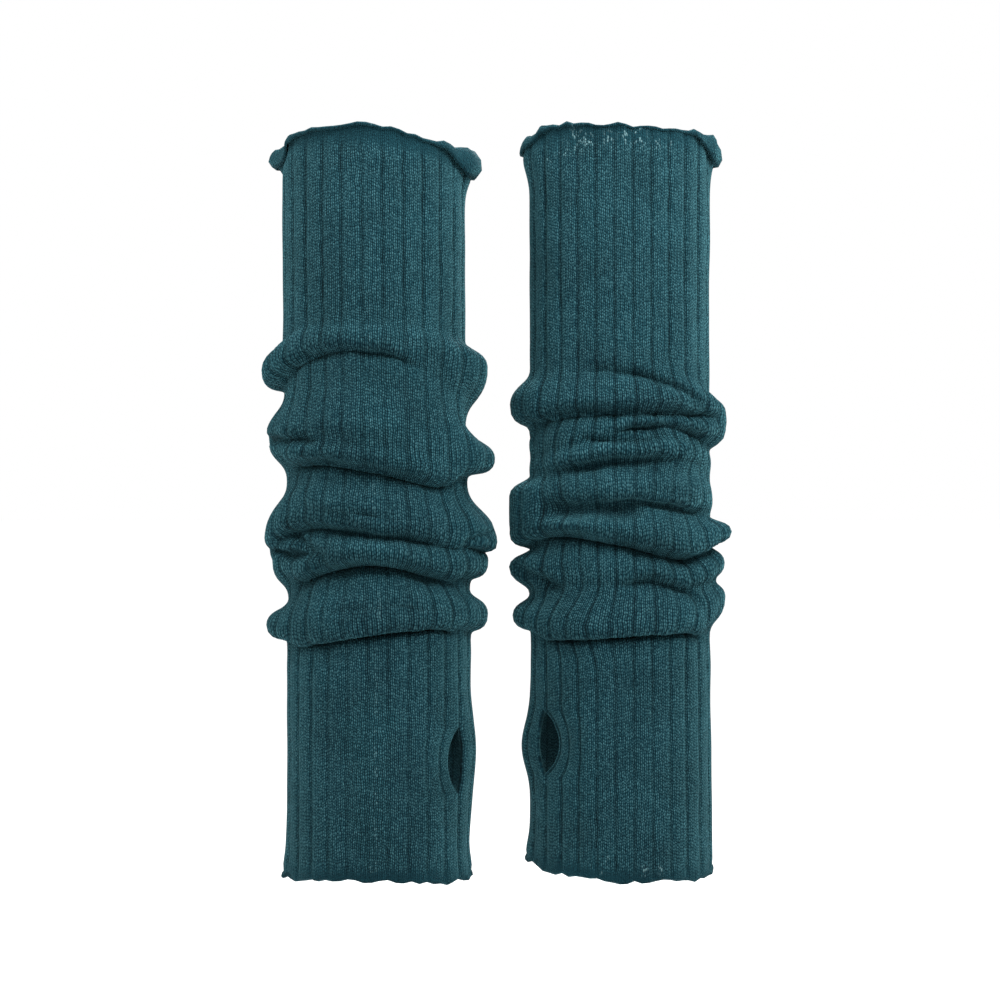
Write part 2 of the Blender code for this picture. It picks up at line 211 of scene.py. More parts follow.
class Rim(NamedTuple):
    """A rolled rim: the roll's angle in degrees, its sizes in mm, and one scallop for each rib.

    tuck is how much tighter the roll gets towards its free edge, scallop and wave how far that edge
    stands up over each rib and in slow waves, lumps how unevenly it rolls, and ribbed how much of
    the ribs it keeps, from 0 to 1.
    """

    turn: Around
    tuck: float
    roll_out: Around
    roll_height: Around
    scallop: float
    wave: float
    lumps: float
    ribbed: float


class Slit(NamedTuple):
    """The thumb slit: its line's angle in degrees, and its height and sizes in millimetres."""

    angle: float
    height: float
    length: float
    width: float
    front_share: float


class Swell(NamedTuple):
    """A local swelling: where it is, how far it rises, and its spread in degrees and mm."""

    angle: float
    height: float
    rise: float
    spread: float
    reach: float


class Crease(NamedTuple):
    """A listed crease: its two ends, its bow upwards, its depth, width and lip in mm.

    Where it runs along a row of the folds, its heights count from that row.
    """

    along: str
    from_angle: float
    from_height: float
    to_angle: float
    to_height: float
    bow: float
    depth: float
    width: float
    lip: float


class Sway(NamedTuple):
    """Ribs pushed sideways round the tube: where, how far in mm, and over what spread."""

    angle: float
    height: float
    push: float
    spread: float
    reach: float


class Spot(NamedTuple):
    """A place where the knit changes: where it is, how large it is and how strong the change."""

    angle: float
    height: float
    spread: float
    reach: float
    strength: float


class Wave(NamedTuple):
    """A wave round the tube: its size, how many go round, its start, and mm up for a radian more."""

    size: float
    count: int
    start: float
    climb: float = math.inf


LEFT_SECTIONS = (
    Section(height=158, half_width=40.8, half_depth=37.0, sideways=-1.0),
    Section(height=75, half_width=40.9, half_depth=36.0, sideways=-0.7),
    Section(height=-70, half_width=41.0, half_depth=32.0, sideways=1.3),
    Section(height=-164, half_width=41.0, half_depth=31.0, sideways=1.0),
)
RIGHT_SECTIONS = (
    Section(height=162, half_width=40.6, half_depth=26.0, sideways=-0.3),
    Section(height=60, half_width=40.2, half_depth=27.0, sideways=-0.2),
    Section(height=-80, half_width=40.4, half_depth=28.5, sideways=0.0),
    Section(height=-164, half_width=40.8, half_depth=28.5, sideways=0.3),
)

# The columns are the row's name, its lip, its height all round and its bulge all round.
LEFT_FOLDS = (
    Fold("top_of_plain_cuff", 0, Around(153, 156, 155, 151, 150, 154), Around(0, 0, 0, 0, 0, 0)),
    Fold("slouch_starts", 0, Around(70, 77, 78, 76, 71, 75), Around(0, 0, 0, 0, 0, 0)),
    Fold("ridge_a", 1, Around(57, 67, 68, 64, 60, 63), Around(9.7, 3.4, 2.2, 3.4, 9.6, 5.5)),
    Fold("crease_a", 0, Around(46, 60, 62, 51, 31, 48), Around(-0.4, -0.6, 0.4, 2.2, -0.4, -0.8)),
    Fold("ridge_b", 1, Around(29, 26, 24, 20, 19, 28), Around(7.7, 3.6, 3.8, 4.2, 12.0, 6.0)),
    Fold("crease_b", 0, Around(7, 15, 12, 6, 8, 12), Around(-0.6, -1.6, -1.6, -1.0, -0.4, -1.0)),
    Fold("ridge_c", 1, Around(-17, -4, -8, -13, -19, -9), Around(9.4, 3.2, 2.8, 3.8, 12.8, 5.5)),
    Fold("crease_c", 0, Around(-23, -13, -16, -20, -24, -20), Around(7.0, 0.0, 0.5, 1.0, 8.0, 0.0)),
    Fold("ridge_d", 1, Around(-28, -23, -22, -26, -27, -28), Around(5.8, 2.6, 2.9, 3.2, 8.8, 4.2)),
    Fold("crease_d", 0, Around(-45, -34, -28, -34, -40, -39), Around(-0.8, -1.0, -1.3, -1.0, 0.4, -1.0)),
    Fold("ridge_e", 1, Around(-56, -57, -53, -50, -51, -54), Around(9.0, 3.2, 3.3, 3.3, 8.2, 5.0)),
    Fold("crease_e", 0, Around(-64, -63, -58, -56, -63, -64), Around(-0.3, -0.5, -0.5, -0.5, 0.4, -0.2)),
    Fold("slouch_ends", 0, Around(-78, -78, -78, -78, -78, -78), Around(0, 0, 0, 0, 0, 0)),
    Fold("slit_top", 0, Around(-100, -100, -100, -100, -100, -100), Around(0, 0, 0, 0, 0.6, 0)),
    Fold("slit_bottom", 0, Around(-129, -129, -129, -129, -129, -129), Around(0, 0, 0, 0, 0.8, 0)),
    Fold("hem", 0, Around(-163, -161, -160, -162, -164, -162), Around(0, 0, 0, 0, 0, 0)),
)
RIGHT_FOLDS = (
    Fold("top_of_plain_cuff", 0, Around(157, 159, 158, 158, 155, 158), Around(0, 0, 0, 0, 0, 0)),
    Fold("slouch_starts", 0, Around(59, 60, 60, 57, 46, 58), Around(0, 0, 0, 0, 0, 0)),
    Fold("ridge_a", 1, Around(43, 41, 42, 43, 39, 42), Around(8.6, 3.2, 3.2, 3.4, 7.6, 5.0)),
    Fold("crease_a", 0, Around(28, 36, 37, 37, 35, 31), Around(-0.2, -0.9, -1.2, -0.8, 8.0, -0.6)),
    Fold("ridge_a_small", 0, Around(25, 27, 33, 32, 31, 24), Around(0.2, 0.8, 1.4, 2.4, 7.4, 2.4)),
    Fold("arch", 0, Around(20, 22, 29, 27, 21, 17), Around(0.0, 0.4, 0.0, 0.0, -0.3, -0.2)),
    Fold("ridge_b", 0, Around(15, 17, 21.5, 21, 16, 11), Around(0.2, 1.8, 2.8, 1.6, 0.1, 3.4)),
    Fold("crease_b", 0, Around(11, 13, 16.5, 16, 11, 4), Around(0.2, 0.4, -0.6, 0.0, -0.2, -0.8)),
    Fold("ridge_c", 0, Around(2, 2, 4, 2, 0, -6), Around(9.2, 3.6, 3.0, 3.0, 0.8, 5.2)),
    Fold("crease_c", 0, Around(-8, -5, -1, -5, -8, -14), Around(9.6, 3.2, 0.8, 0.0, -0.1, -0.2)),
    Fold("ridge_d", 1, Around(-15, -11, -13, -18, -14, -22), Around(9.0, 4.0, 3.4, 3.2, 9.8, 4.8)),
    Fold("crease_d", 0, Around(-22, -16, -20, -26, -19, -31), Around(-0.4, -1.0, -1.4, -1.0, -0.2, -0.8)),
    Fold("ridge_e", 0, Around(-30, -31, -32, -34, -28, -40), Around(9.0, 2.4, 1.8, 2.4, 6.8, 4.2)),
    Fold("crease_e", 0, Around(-42, -40, -37, -38, -36, -49), Around(0.2, 0.8, 0.8, 0.4, 3.0, -0.2)),
    Fold("ridge_f", 1, Around(-52, -55, -54, -51, -43, -58), Around(7.4, 3.2, 3.2, 3.4, 7.0, 4.4)),
    Fold("crease_f", 0, Around(-60, -61, -59, -58, -63, -67), Around(-0.4, -0.6, -0.6, -0.5, -0.2, -0.3)),
    Fold("slouch_ends", 0, Around(-79, -79, -79, -79, -79, -79), Around(0, 0, 0, 0, 0, 0)),
    Fold("slit_top", 0, Around(-92, -92, -92, -92, -92, -92), Around(0, 0, 0, 0, 0, 0)),
    Fold("slit_bottom", 0, Around(-121, -121, -121, -121, -121, -121), Around(0, 0, 0, 0, 0.4, 0)),
    Fold("hem", 0, Around(-157, -158, -161, -162, -160, -160), Around(0, 0, 0, 0, 0.4, 0)),
)

LEFT_TOP_RIM = Rim(
    turn=Around(235, 140, 125, 140, 288, 180),
    tuck=0.15,
    roll_out=Around(3.2, 2.8, 2.6, 2.7, 6.0, 3.2),
    roll_height=Around(9, 7.0, 8.0, 8.4, 14, 8),
    scallop=0.45,
    wave=0.6,
    lumps=0.22,
    ribbed=0.25,
)
LEFT_BOTTOM_RIM = Rim(
    turn=Around(112, 76, 66, 70, 104, 74),
    tuck=0.0,
    roll_out=Around(3.6, 2.1, 1.8, 2.1, 3.4, 2.4),
    roll_height=Around(8, 8, 8, 8, 8, 8),
    scallop=0.7,
    wave=0.5,
    lumps=0.35,
    ribbed=0.45,
)
RIGHT_TOP_RIM = Rim(
    turn=Around(200, 135, 120, 135, 285, 170),
    tuck=0.1,
    roll_out=Around(3.0, 2.8, 2.7, 2.7, 4.8, 3.0),
    roll_height=Around(10, 9.4, 6.8, 7.2, 12, 7),
    scallop=0.6,
    wave=0.4,
    lumps=0.40,
    ribbed=0.70,
)
RIGHT_BOTTOM_RIM = Rim(
    turn=Around(104, 82, 70, 78, 96, 84),
    tuck=0.0,
    roll_out=Around(3.6, 2.4, 1.8, 2.2, 3.8, 2.8),
    roll_height=Around(8, 7, 7, 7, 8, 8),
    scallop=1.0,
    wave=0.8,
    lumps=0.25,
    ribbed=0.50,
)

LEFT_SLIT = Slit(angle=333.5, height=-114.5, length=28.5, width=9.2, front_share=0.75)
RIGHT_SLIT = Slit(angle=209, height=-106.5, length=28, width=12.0, front_share=0.75)
LEFT_SWELLS = (
    Swell(angle=352, height=-112, rise=2.4, spread=16, reach=18),
    Swell(angle=168, height=155, rise=7.6, spread=10, reach=6),
    Swell(angle=358, height=149, rise=3.8, spread=13, reach=8),
    Swell(angle=194, height=156, rise=-1.8, spread=9, reach=8),
    Swell(angle=184, height=-165, rise=1.4, spread=22, reach=7),
    Swell(angle=356, height=-165, rise=1.2, spread=22, reach=7),
)
RIGHT_SWELLS = (
    Swell(angle=188, height=-110, rise=4.2, spread=15, reach=13),
    Swell(angle=184, height=153, rise=2.8, spread=24, reach=9),
    Swell(angle=4, height=153, rise=2.4, spread=13, reach=7),
    Swell(angle=180, height=-158, rise=1.6, spread=20, reach=7),
)

# The columns are the fold row that a crease runs along, its first end's angle and height, its last
# end's angle and height, and its shape.
LEFT_CREASES = (
    Crease("crease_a", 188, 0.5, 316, 1.6, bow=0.4, depth=1.5, width=2.2, lip=0.5),
    Crease("", 172, 28.0, 244, 26.5, bow=-0.8, depth=3.2, width=2.2, lip=0.3),
    Crease("", 215, 27.0, 300, 22.0, bow=0.0, depth=1.3, width=5.5, lip=0.0),
    Crease("crease_b", 196, 1.0, 334, 0.0, bow=1.0, depth=3.9, width=2.7, lip=0.8),
    Crease("", 216, -1.0, 296, -8.8, bow=-0.4, depth=0.9, width=1.2, lip=0.2),
    Crease("crease_c", 184, 0.8, 329, 1.5, bow=0.3, depth=2.3, width=2.2, lip=0.5),
    Crease("", 325, -19.0, 364, -13.0, bow=0.6, depth=1.6, width=1.5, lip=0.5),
    Crease("", 332, -20.0, 364, -24.0, bow=0.3, depth=1.4, width=1.5, lip=0.5),
    Crease("", 180, -21.5, 236, -23.0, bow=-1.0, depth=3.6, width=1.9, lip=0.9),
    Crease("", 202, -13.0, 244, -25.5, bow=1.0, depth=2.2, width=2.0, lip=0.4),
    Crease("", 226, -34.0, 244, -22.0, bow=-1.5, depth=1.6, width=2.0, lip=0.2),
    Crease("crease_d", 202, -0.5, 342, -1.0, bow=0.8, depth=4.1, width=3.2, lip=0.6),
    Crease("", 232, -49.5, 322, -49.0, bow=3.6, depth=0.8, width=1.2, lip=0.3),
    Crease("crease_e", 203, 0.0, 338, 0.0, bow=0.0, depth=1.8, width=1.3, lip=0.4),
    Crease("crease_a", 22, 0.0, 152, 0.0, bow=0.0, depth=2.1, width=2.2, lip=0.5),
    Crease("", 58, 34.0, 124, 27.0, bow=2.0, depth=1.0, width=1.6, lip=0.3),
    Crease("crease_b", 38, 0.0, 166, 0.5, bow=0.0, depth=2.7, width=2.2, lip=0.7),
    Crease("", 96, 1.0, 152, -5.0, bow=-1.0, depth=1.0, width=1.4, lip=0.3),
    Crease("crease_c", 12, 0.0, 122, 0.0, bow=0.0, depth=2.0, width=1.9, lip=0.5),
    Crease("", 22, -31.0, 74, -25.0, bow=1.6, depth=1.4, width=1.6, lip=0.6),
    Crease("crease_d", 30, 0.0, 162, -0.5, bow=0.0, depth=2.9, width=2.5, lip=0.5),
    Crease("crease_e", 20, 0.0, 156, 0.0, bow=0.0, depth=1.2, width=1.2, lip=0.3),
)
RIGHT_CREASES = (
    Crease("", 243, 55.5, 289, 52.0, bow=1.6, depth=1.5, width=2.4, lip=0.4),
    Crease("", 270, 54.5, 335, 38.0, bow=2.4, depth=1.9, width=2.3, lip=0.4),
    Crease("crease_a", 194, 1.5, 347, 0.5, bow=0.6, depth=3.0, width=1.9, lip=0.6),
    Crease("", 261, 28.5, 337, 24.5, bow=5.4, depth=3.0, width=1.8, lip=0.8),
    Crease("", 238, 29.0, 303, 30.0, bow=-4.6, depth=1.5, width=1.9, lip=0.4),
    Crease("crease_b", 218, -1.5, 306, 0.6, bow=1.0, depth=2.4, width=3.1, lip=0.4),
    Crease("", 299, 16.0, 313, 27.0, bow=-1.2, depth=1.3, width=1.6, lip=0.3),
    Crease("", 208, -4.5, 290, -5.0, bow=0.6, depth=3.0, width=4.6, lip=0.0),
    Crease("crease_c", 250, 0.5, 340, 0.0, bow=0.6, depth=2.4, width=2.0, lip=0.6),
    Crease("", 268, 3.0, 327, -0.5, bow=1.2, depth=0.8, width=1.2, lip=0.5),
    Crease("crease_d", 194, 1.0, 343, 0.0, bow=0.4, depth=3.6, width=2.6, lip=0.8),
    Crease("", 184, -27.0, 233, -39.0, bow=-1.0, depth=2.2, width=2.8, lip=0.3),
    Crease("", 262, -37.5, 330, -50.0, bow=7.4, depth=2.1, width=2.5, lip=0.4),
    Crease("crease_f", 202, 0.0, 346, 0.0, bow=0.0, depth=1.7, width=1.3, lip=0.4),
    Crease("", 28, 51.0, 84, 45.0, bow=1.6, depth=1.1, width=1.8, lip=0.4),
    Crease("crease_a", 18, 0.0, 162, 0.0, bow=0.0, depth=2.2, width=1.9, lip=0.6),
    Crease("", 98, 22.0, 152, 18.0, bow=-2.0, depth=1.0, width=1.4, lip=0.3),
    Crease("crease_b", 38, 0.0, 152, 0.0, bow=0.6, depth=2.7, width=2.1, lip=0.8),
    Crease("crease_c", 14, 0.0, 132, 0.0, bow=0.0, depth=2.3, width=2.1, lip=0.7),
    Crease("crease_d", 28, 0.0, 166, 0.0, bow=0.0, depth=2.8, width=2.3, lip=0.7),
    Crease("", 44, -45.0, 112, -49.0, bow=3.2, depth=1.1, width=1.5, lip=0.5),
    Crease("crease_f", 18, 0.0, 162, 0.0, bow=0.0, depth=1.2, width=1.2, lip=0.3),
)
LEFT_SWAYS = (
    Sway(angle=231, height=45, push=2.4, spread=14, reach=16),
    Sway(angle=232, height=-22, push=2.6, spread=12, reach=7),
    Sway(angle=322, height=54, push=-2.2, spread=16, reach=20),
    Sway(angle=312, height=-48, push=2.0, spread=16, reach=9),
    Sway(angle=246, height=-50, push=-1.6, spread=18, reach=8),
    Sway(angle=66, height=48, push=-3.0, spread=20, reach=14),
    Sway(angle=118, height=-8, push=2.8, spread=18, reach=10),
    Sway(angle=84, height=-48, push=-2.4, spread=18, reach=9),
)
RIGHT_SWAYS = (
    Sway(angle=240, height=-55, push=-5.0, spread=26, reach=11),
    Sway(angle=236, height=-36, push=2.4, spread=22, reach=10),
    Sway(angle=308, height=-45, push=3.6, spread=18, reach=13),
    Sway(angle=302, height=21, push=4.8, spread=24, reach=9),
    Sway(angle=302, height=43, push=4.0, spread=22, reach=10),
    Sway(angle=236, height=22, push=-3.4, spread=22, reach=10),
    Sway(angle=226, height=-6, push=2.6, spread=18, reach=12),
    Sway(angle=62, height=-50, push=4.0, spread=24, reach=13),
    Sway(angle=122, height=22, push=-3.0, spread=20, reach=12),
    Sway(angle=88, height=-8, push=2.8, spread=20, reach=11),
)
# Thin places, where the light through the stitches is painted into the colour.
LEFT_THIN_SPOTS = (
    Spot(angle=271, height=161, spread=1.5, reach=1.2, strength=1.0),
    Spot(angle=271, height=62, spread=0.5, reach=24, strength=0.12),
    Spot(angle=272, height=2, spread=0.5, reach=5, strength=0.15),
    Spot(angle=274, height=-44, spread=0.5, reach=6, strength=0.13),
    Spot(angle=272, height=-120, spread=0.5, reach=40, strength=0.14),
    Spot(angle=268, height=-158, spread=1.4, reach=0.9, strength=0.7),
)
LEFT_SMOOTH_SPOTS = (
    Spot(angle=268, height=-118, spread=46, reach=52, strength=0.80),
    Spot(angle=270, height=-20, spread=36, reach=60, strength=0.70),
    Spot(angle=275, height=52, spread=36, reach=26, strength=0.75),
    Spot(angle=268, height=120, spread=24, reach=40, strength=0.35),
    Spot(angle=88, height=-110, spread=44, reach=56, strength=0.75),
    Spot(angle=92, height=0, spread=36, reach=62, strength=0.70),
)
RIGHT_SMOOTH_SPOTS = (
    Spot(angle=284, height=-115, spread=34, reach=48, strength=0.50),
    Spot(angle=276, height=2, spread=40, reach=22, strength=0.50),
    Spot(angle=300, height=-42, spread=20, reach=12, strength=0.45),
    Spot(angle=262, height=110, spread=26, reach=44, strength=0.30),
    Spot(angle=84, height=-112, spread=40, reach=50, strength=0.60),
    Spot(angle=96, height=4, spread=38, reach=50, strength=0.70),
)
# Thin places, where the light through the stitches is painted into the colour.
RIGHT_THIN_SPOTS = (
    Spot(angle=220, height=151, spread=2.6, reach=1.6, strength=0.68),
    Spot(angle=229, height=153, spread=3.0, reach=2.4, strength=0.81),
    Spot(angle=240, height=157, spread=3.0, reach=4.4, strength=0.90),
    Spot(angle=249, height=156, spread=3.4, reach=2.8, strength=0.45),
    Spot(angle=262, height=156, spread=3.4, reach=3.0, strength=0.45),
    Spot(angle=276, height=158, spread=5.4, reach=3.6, strength=0.68),
    Spot(angle=289, height=155, spread=3.0, reach=2.2, strength=0.36),
    Spot(angle=300, height=155, spread=2.4, reach=2.2, strength=0.40),
    Spot(angle=58, height=155, spread=3.4, reach=3.4, strength=0.72),
    Spot(angle=82, height=156, spread=4.0, reach=4.0, strength=0.81),
    Spot(angle=109, height=154, spread=3.0, reach=2.8, strength=0.54),
    Spot(angle=254, height=-160, spread=2.0, reach=1.2, strength=0.50),
    Spot(angle=281, height=-160, spread=2.0, reach=1.2, strength=0.44),
    Spot(angle=291, height=-160, spread=1.4, reach=1.2, strength=0.44),
    Spot(angle=259, height=-155, spread=1.2, reach=1.0, strength=0.34),
)


# How unevenly a rim has rolled, how the cloth wobbles, and the slow waves of a rim's edge.
ROLL_WAVES = (Wave(0.35, 19, 1.0), Wave(0.35, 13, 4.0), Wave(0.2, 31, 2.2), Wave(0.1, 47, 0.7))
WOBBLE = 0.35 * MM
WOBBLE_WAVES = (
    Wave(size=1 / 3, count=3, start=1.0, climb=17.0),
    Wave(size=1 / 3, count=7, start=2.0, climb=-11.0),
    Wave(size=0.7 / 3, count=11, start=0.0, climb=7.0),
    Wave(size=0.7 / 3, count=5, start=4.0, climb=5.0),
)


class TubeForm:
    """The middle surface of one warmer's cloth, by ring and by share of the way round."""

    SLIT_REACH = 22 * MM
    SLIT_ROUNDNESS = 0.75
    SLIT_FADING = 1.5
    NUDGE = 0.02
    NUDGE_AROUND = 0.0006
    ROLL_HEIGHT_SHARE = 0.8
    SCALLOP_UNEVENNESS = 0.85
    SCALLOP_STEPS = (2.4, 1.1)
    EDGE_WAVES = 3
    EDGE_WAVES_FINE = 7
    EDGE_FINE_SHARE = 0.6
    CREASE_WAVE = 0.35
    CREASE_WAVES = 13
    CREASE_SWELLS = 8

    def __init__(self, warmer: "WristWarmer") -> None:
        """Work out the section's tables.

        Args:
            warmer: the warmer whose cloth this is.
        """
        self.warmer = warmer
        half_width = float(np.mean([row.half_width for row in warmer.sections]))
        half_depth = float(np.mean([row.half_depth for row in warmer.sections]))
        self.angles = np.linspace(0.0, FULL_TURN, ANGLE_SAMPLES)
        speed = np.hypot(half_width * np.sin(self.angles), half_depth * np.cos(self.angles))
        arc = np.concatenate([[0.0], np.cumsum((speed[1:] + speed[:-1]) / 2)])
        self.arc = arc / arc[-1]
        rows = sorted(warmer.sections, key=lambda row: row.height)
        over_ribs = WALL / 2 + RIB_HEIGHT
        self.levels = np.array([row.height for row in rows]) * MM
        self.widths = np.array([row.half_width for row in rows]) * MM - over_ribs
        self.depths = np.array([row.half_depth for row in rows]) * MM - over_ribs
        self.leans = np.array([row.sideways for row in rows]) * MM
        mean_square = (np.mean(self.widths) ** 2 + np.mean(self.depths) ** 2) / 2
        self.perimeter = FULL_TURN * math.sqrt(mean_square)
        self.slit_share = self.slit_column_share()
        self.rows = {row.name: row for row in warmer.folds}
        self.crease_spans = [self.crease_span(crease) for crease in warmer.creases]

    def slit_column_share(self) -> float:
        """The share of the way round where the slit runs: the column nearest its angle."""
        stated = np.interp(math.radians(self.warmer.slit.angle), self.angles, self.arc)
        per_rib = WALES_PER_RIB * COLUMNS_PER_WALE
        shift = self.warmer.furrow_shift
        columns = round(((stated - FRONT_SHARE) * RIB_COUNT - shift) * per_rib)
        return FRONT_SHARE + (columns / per_rib + shift) / RIB_COUNT

    def crease_span(self, crease: Crease) -> tuple[float, float]:
        """The lowest and highest heights that a crease changes, in millimetres."""
        part = np.linspace(0.0, 1.0, 33)
        turned = crease.from_angle + (crease.to_angle - crease.from_angle) * part
        line = self.crease_line(crease, part, np.radians(turned))
        below, above = CREASE_BELOW * crease.width, CREASE_ABOVE * crease.width
        return float(line.min()) - below, float(line.max()) + above

    def ribs_from_furrow(self, shares: np.ndarray) -> np.ndarray:
        """How many ribs each share of the way round lies past the furrow nearest the front."""
        return (shares - FRONT_SHARE) * RIB_COUNT - self.warmer.furrow_shift

    def angle_at(self, shares: np.ndarray) -> np.ndarray:
        """The section angle at each share of the way round."""
        return np.interp(np.mod(shares, 1.0), self.arc, self.angles)

    def ring_places(self) -> list[Place]:
        """Every ring from the top free edge to the bottom one: its stretch, and where in it."""
        warmer = self.warmer
        top_steps = self.steps_between((Stretch.TOP_RIM, 0.0), (Stretch.TOP_RIM, 1.0))
        places = [(Stretch.TOP_RIM, 1.0 - step / top_steps) for step in range(top_steps)]
        for row in range(len(warmer.folds) - 1):
            steps = self.steps_between((Stretch.CLOTH, row), (Stretch.CLOTH, row + 1.0))
            places += [(Stretch.CLOTH, row + step / steps) for step in range(steps)]
        places.append((Stretch.CLOTH, len(warmer.folds) - 1.0))
        low_steps = self.steps_between((Stretch.BOTTOM_RIM, 0.0), (Stretch.BOTTOM_RIM, 1.0))
        places += [(Stretch.BOTTOM_RIM, (step + 1) / low_steps) for step in range(low_steps)]
        return places

    def steps_between(self, first: Place, last: Place) -> int:
        """How many rings of RING_STEP the cloth between two places needs.

        Args:
            first: the place where the stretch starts.
            last: the place where it ends, in the same stretch.

        Returns:
            The number of steps, at least 2.
        """
        samples = 12
        angles = np.linspace(0.0, FULL_TURN, 33)[:-1]
        wheres = np.linspace(first[1], last[1], samples)
        profiles = [self.profile((first[0], where), angles) for where in wheres]
        heights = np.array([height for height, _ in profiles])
        bulges = np.array([bulge for _, bulge in profiles])
        lengths = np.hypot(np.diff(heights, axis=0), np.diff(bulges, axis=0)).sum(axis=0)
        return max(2, round(float(lengths.mean()) / RING_STEP))

    def profile(self, place: Place, angles: np.ndarray) -> tuple[np.ndarray, np.ndarray]:
        """Height and bulge of a ring.

        Args:
            place: the ring's stretch and where in it.
            angles: section angles, in radians.

        Returns:
            The height and the outward bulge at each angle, in metres.
        """
        stretch, where = place
        folds = self.warmer.folds
        if stretch is Stretch.CLOTH:
            row = min(int(where), len(folds) - 2)
            return self.between(folds[row], folds[row + 1], where - row, angles)
        at_top = stretch is Stretch.TOP_RIM
        rim = self.warmer.top_rim if at_top else self.warmer.bottom_rim
        fold = folds[0] if at_top else folds[-1]
        way = 1.0 if at_top else -1.0
        turn = np.radians(rim.turn.smooth(angles) / MM) * where
        tucked = 1.0 - rim.tuck * where
        lumpy = rim.lumps * ripple(ROLL_WAVES, angles)
        half_out = rim.roll_out.smooth(angles) / 2 * (1 + lumpy)
        half_high = rim.roll_height.smooth(angles) / 2 * (1 + self.ROLL_HEIGHT_SHARE * lumpy)
        height = fold.height.smooth(angles) + way * half_high * np.sin(turn) * tucked
        height = height + way * self.scallops(rim, angles) * np.sin(np.minimum(turn, math.pi / 2))
        bulge = fold.bulge.smooth(angles) + half_out * tucked * (1 - np.cos(turn))
        return height, bulge

    def scallops(self, rim: Rim, angles: np.ndarray) -> np.ndarray:
        """How far a rim's edge stands up over each rib, and waves more slowly round the tube."""
        ribs = self.ribs_from_furrow(np.interp(angles, self.angles, self.arc))
        number = np.floor(ribs)
        phase = rim.scallop + rim.turn.front
        quick, slow = self.SCALLOP_STEPS
        uneven = self.SCALLOP_UNEVENNESS * np.sin(number * quick + phase) * np.sin(number * slow + 1)
        crown = (1 + uneven) * np.sin(math.pi * (ribs - number))
        wave = np.sin(self.EDGE_WAVES * angles + phase)
        wave = wave + self.EDGE_FINE_SHARE * np.sin(self.EDGE_WAVES_FINE * angles)
        return (rim.scallop * crown + rim.wave * wave) * MM

    def between(
        self, upper: Fold, lower: Fold, part: float, angles: np.ndarray
    ) -> tuple[np.ndarray, np.ndarray]:
        """The cloth's way from one fold row to the next, leaving and arriving straight down.

        Args:
            upper: the row above.
            lower: the row below.
            part: how far along the way, from 0 to 1.
            angles: section angles, in radians.

        Returns:
            The height and the outward bulge at each angle, in metres.
        """
        high, low = upper.height.smooth(angles), lower.height.smooth(angles)
        out_high, out_low = upper.bulge.smooth(angles), lower.bulge.smooth(angles)
        drop = high - low
        step_in = np.abs(out_high - out_low)
        slope = SLOPE_PULL * drop
        lip = np.minimum(LIP_LIMIT * drop, LIP_PULL * step_in + SLOPE_PULL * drop / 2)
        lip = lip + LIP_HANG * np.maximum(0.0, step_in - FOLD_ROOM)
        facing = smooth_step((np.abs(np.sin(angles)) - FACING_START) / FACING_FADE)
        facing = facing * smooth_step(step_in / TUCK_STEP - TUCK_START)
        leaving = lip + facing * (TUCK_LEAVING * drop - lip)
        arriving = lip + facing * (TUCK_ARRIVING * drop - lip)
        leaving = slope + upper.lip * (leaving - slope)
        arriving = slope + upper.lip * (arriving - slope)
        rest = 1.0 - part
        first, second, third, fourth = rest**3, 3 * rest**2 * part, 3 * rest * part**2, part**3
        height = first * high + second * (high - leaving) + third * (low + arriving) + fourth * low
        bulge = (first + second) * out_high + (third + fourth) * out_low
        return height, bulge

    def slit_gap(self, height: np.ndarray) -> np.ndarray:
        """How far the slit's lips stand apart at each height, and 0 above and below it."""
        slit = self.warmer.slit
        part = (height / MM - slit.height) / (slit.length / 2)
        return slit.width * MM * np.maximum(0.0, 1 - part**2) ** self.SLIT_ROUNDNESS

    def parting(self, place: Place, shares: np.ndarray, side: np.ndarray) -> np.ndarray:
        """How far the open slit moves the cloth round the tube, as a share, most at its lips.

        Args:
            place: the ring's stretch and where in it.
            shares: shares of the way round.
            side: 1 and -1 on the slit's two lips, 0 elsewhere.

        Returns:
            The shift of each point, as a share of the way round.
        """
        slit = self.warmer.slit
        away = shares - self.slit_share
        away = away - np.where(side == 0, np.round(away), 0.0)
        away = np.where(side < 0, away - 1.0, away)
        height, _ = self.profile(place, self.angle_at(shares))
        way = np.where(side == 0, np.sign(away), side)
        front_way = -1 if slit.angle > FRONT_DEGREES else 1
        portion = np.where(way == front_way, slit.front_share, 1 - slit.front_share)
        fading = np.maximum(0.0, 1 - np.abs(away) * self.perimeter / self.SLIT_REACH)
        return way * portion * self.slit_gap(height) * fading**self.SLIT_FADING / self.perimeter

    def swaying(self, height: np.ndarray, angles: np.ndarray) -> np.ndarray:
        """How far the folds push the ribs sideways, as a share of the way round."""
        pushed = np.zeros_like(angles)
        for sway in self.warmer.sways:
            pushed = pushed + sway.push * MM * nearness(
                angles, height, sway.angle, sway.height, sway.spread, sway.reach
            )
        return pushed / self.perimeter

    def crease_line(self, crease: Crease, part: np.ndarray, angles: np.ndarray) -> np.ndarray:
        """A crease's height in millimetres, by the part of its way and the section angles."""
        line = crease.from_height + (crease.to_height - crease.from_height) * part
        line = line + crease.bow * 4 * part * (1 - part)
        if crease.along:
            line = line + self.rows[crease.along].height.smooth(angles) / MM
        return line

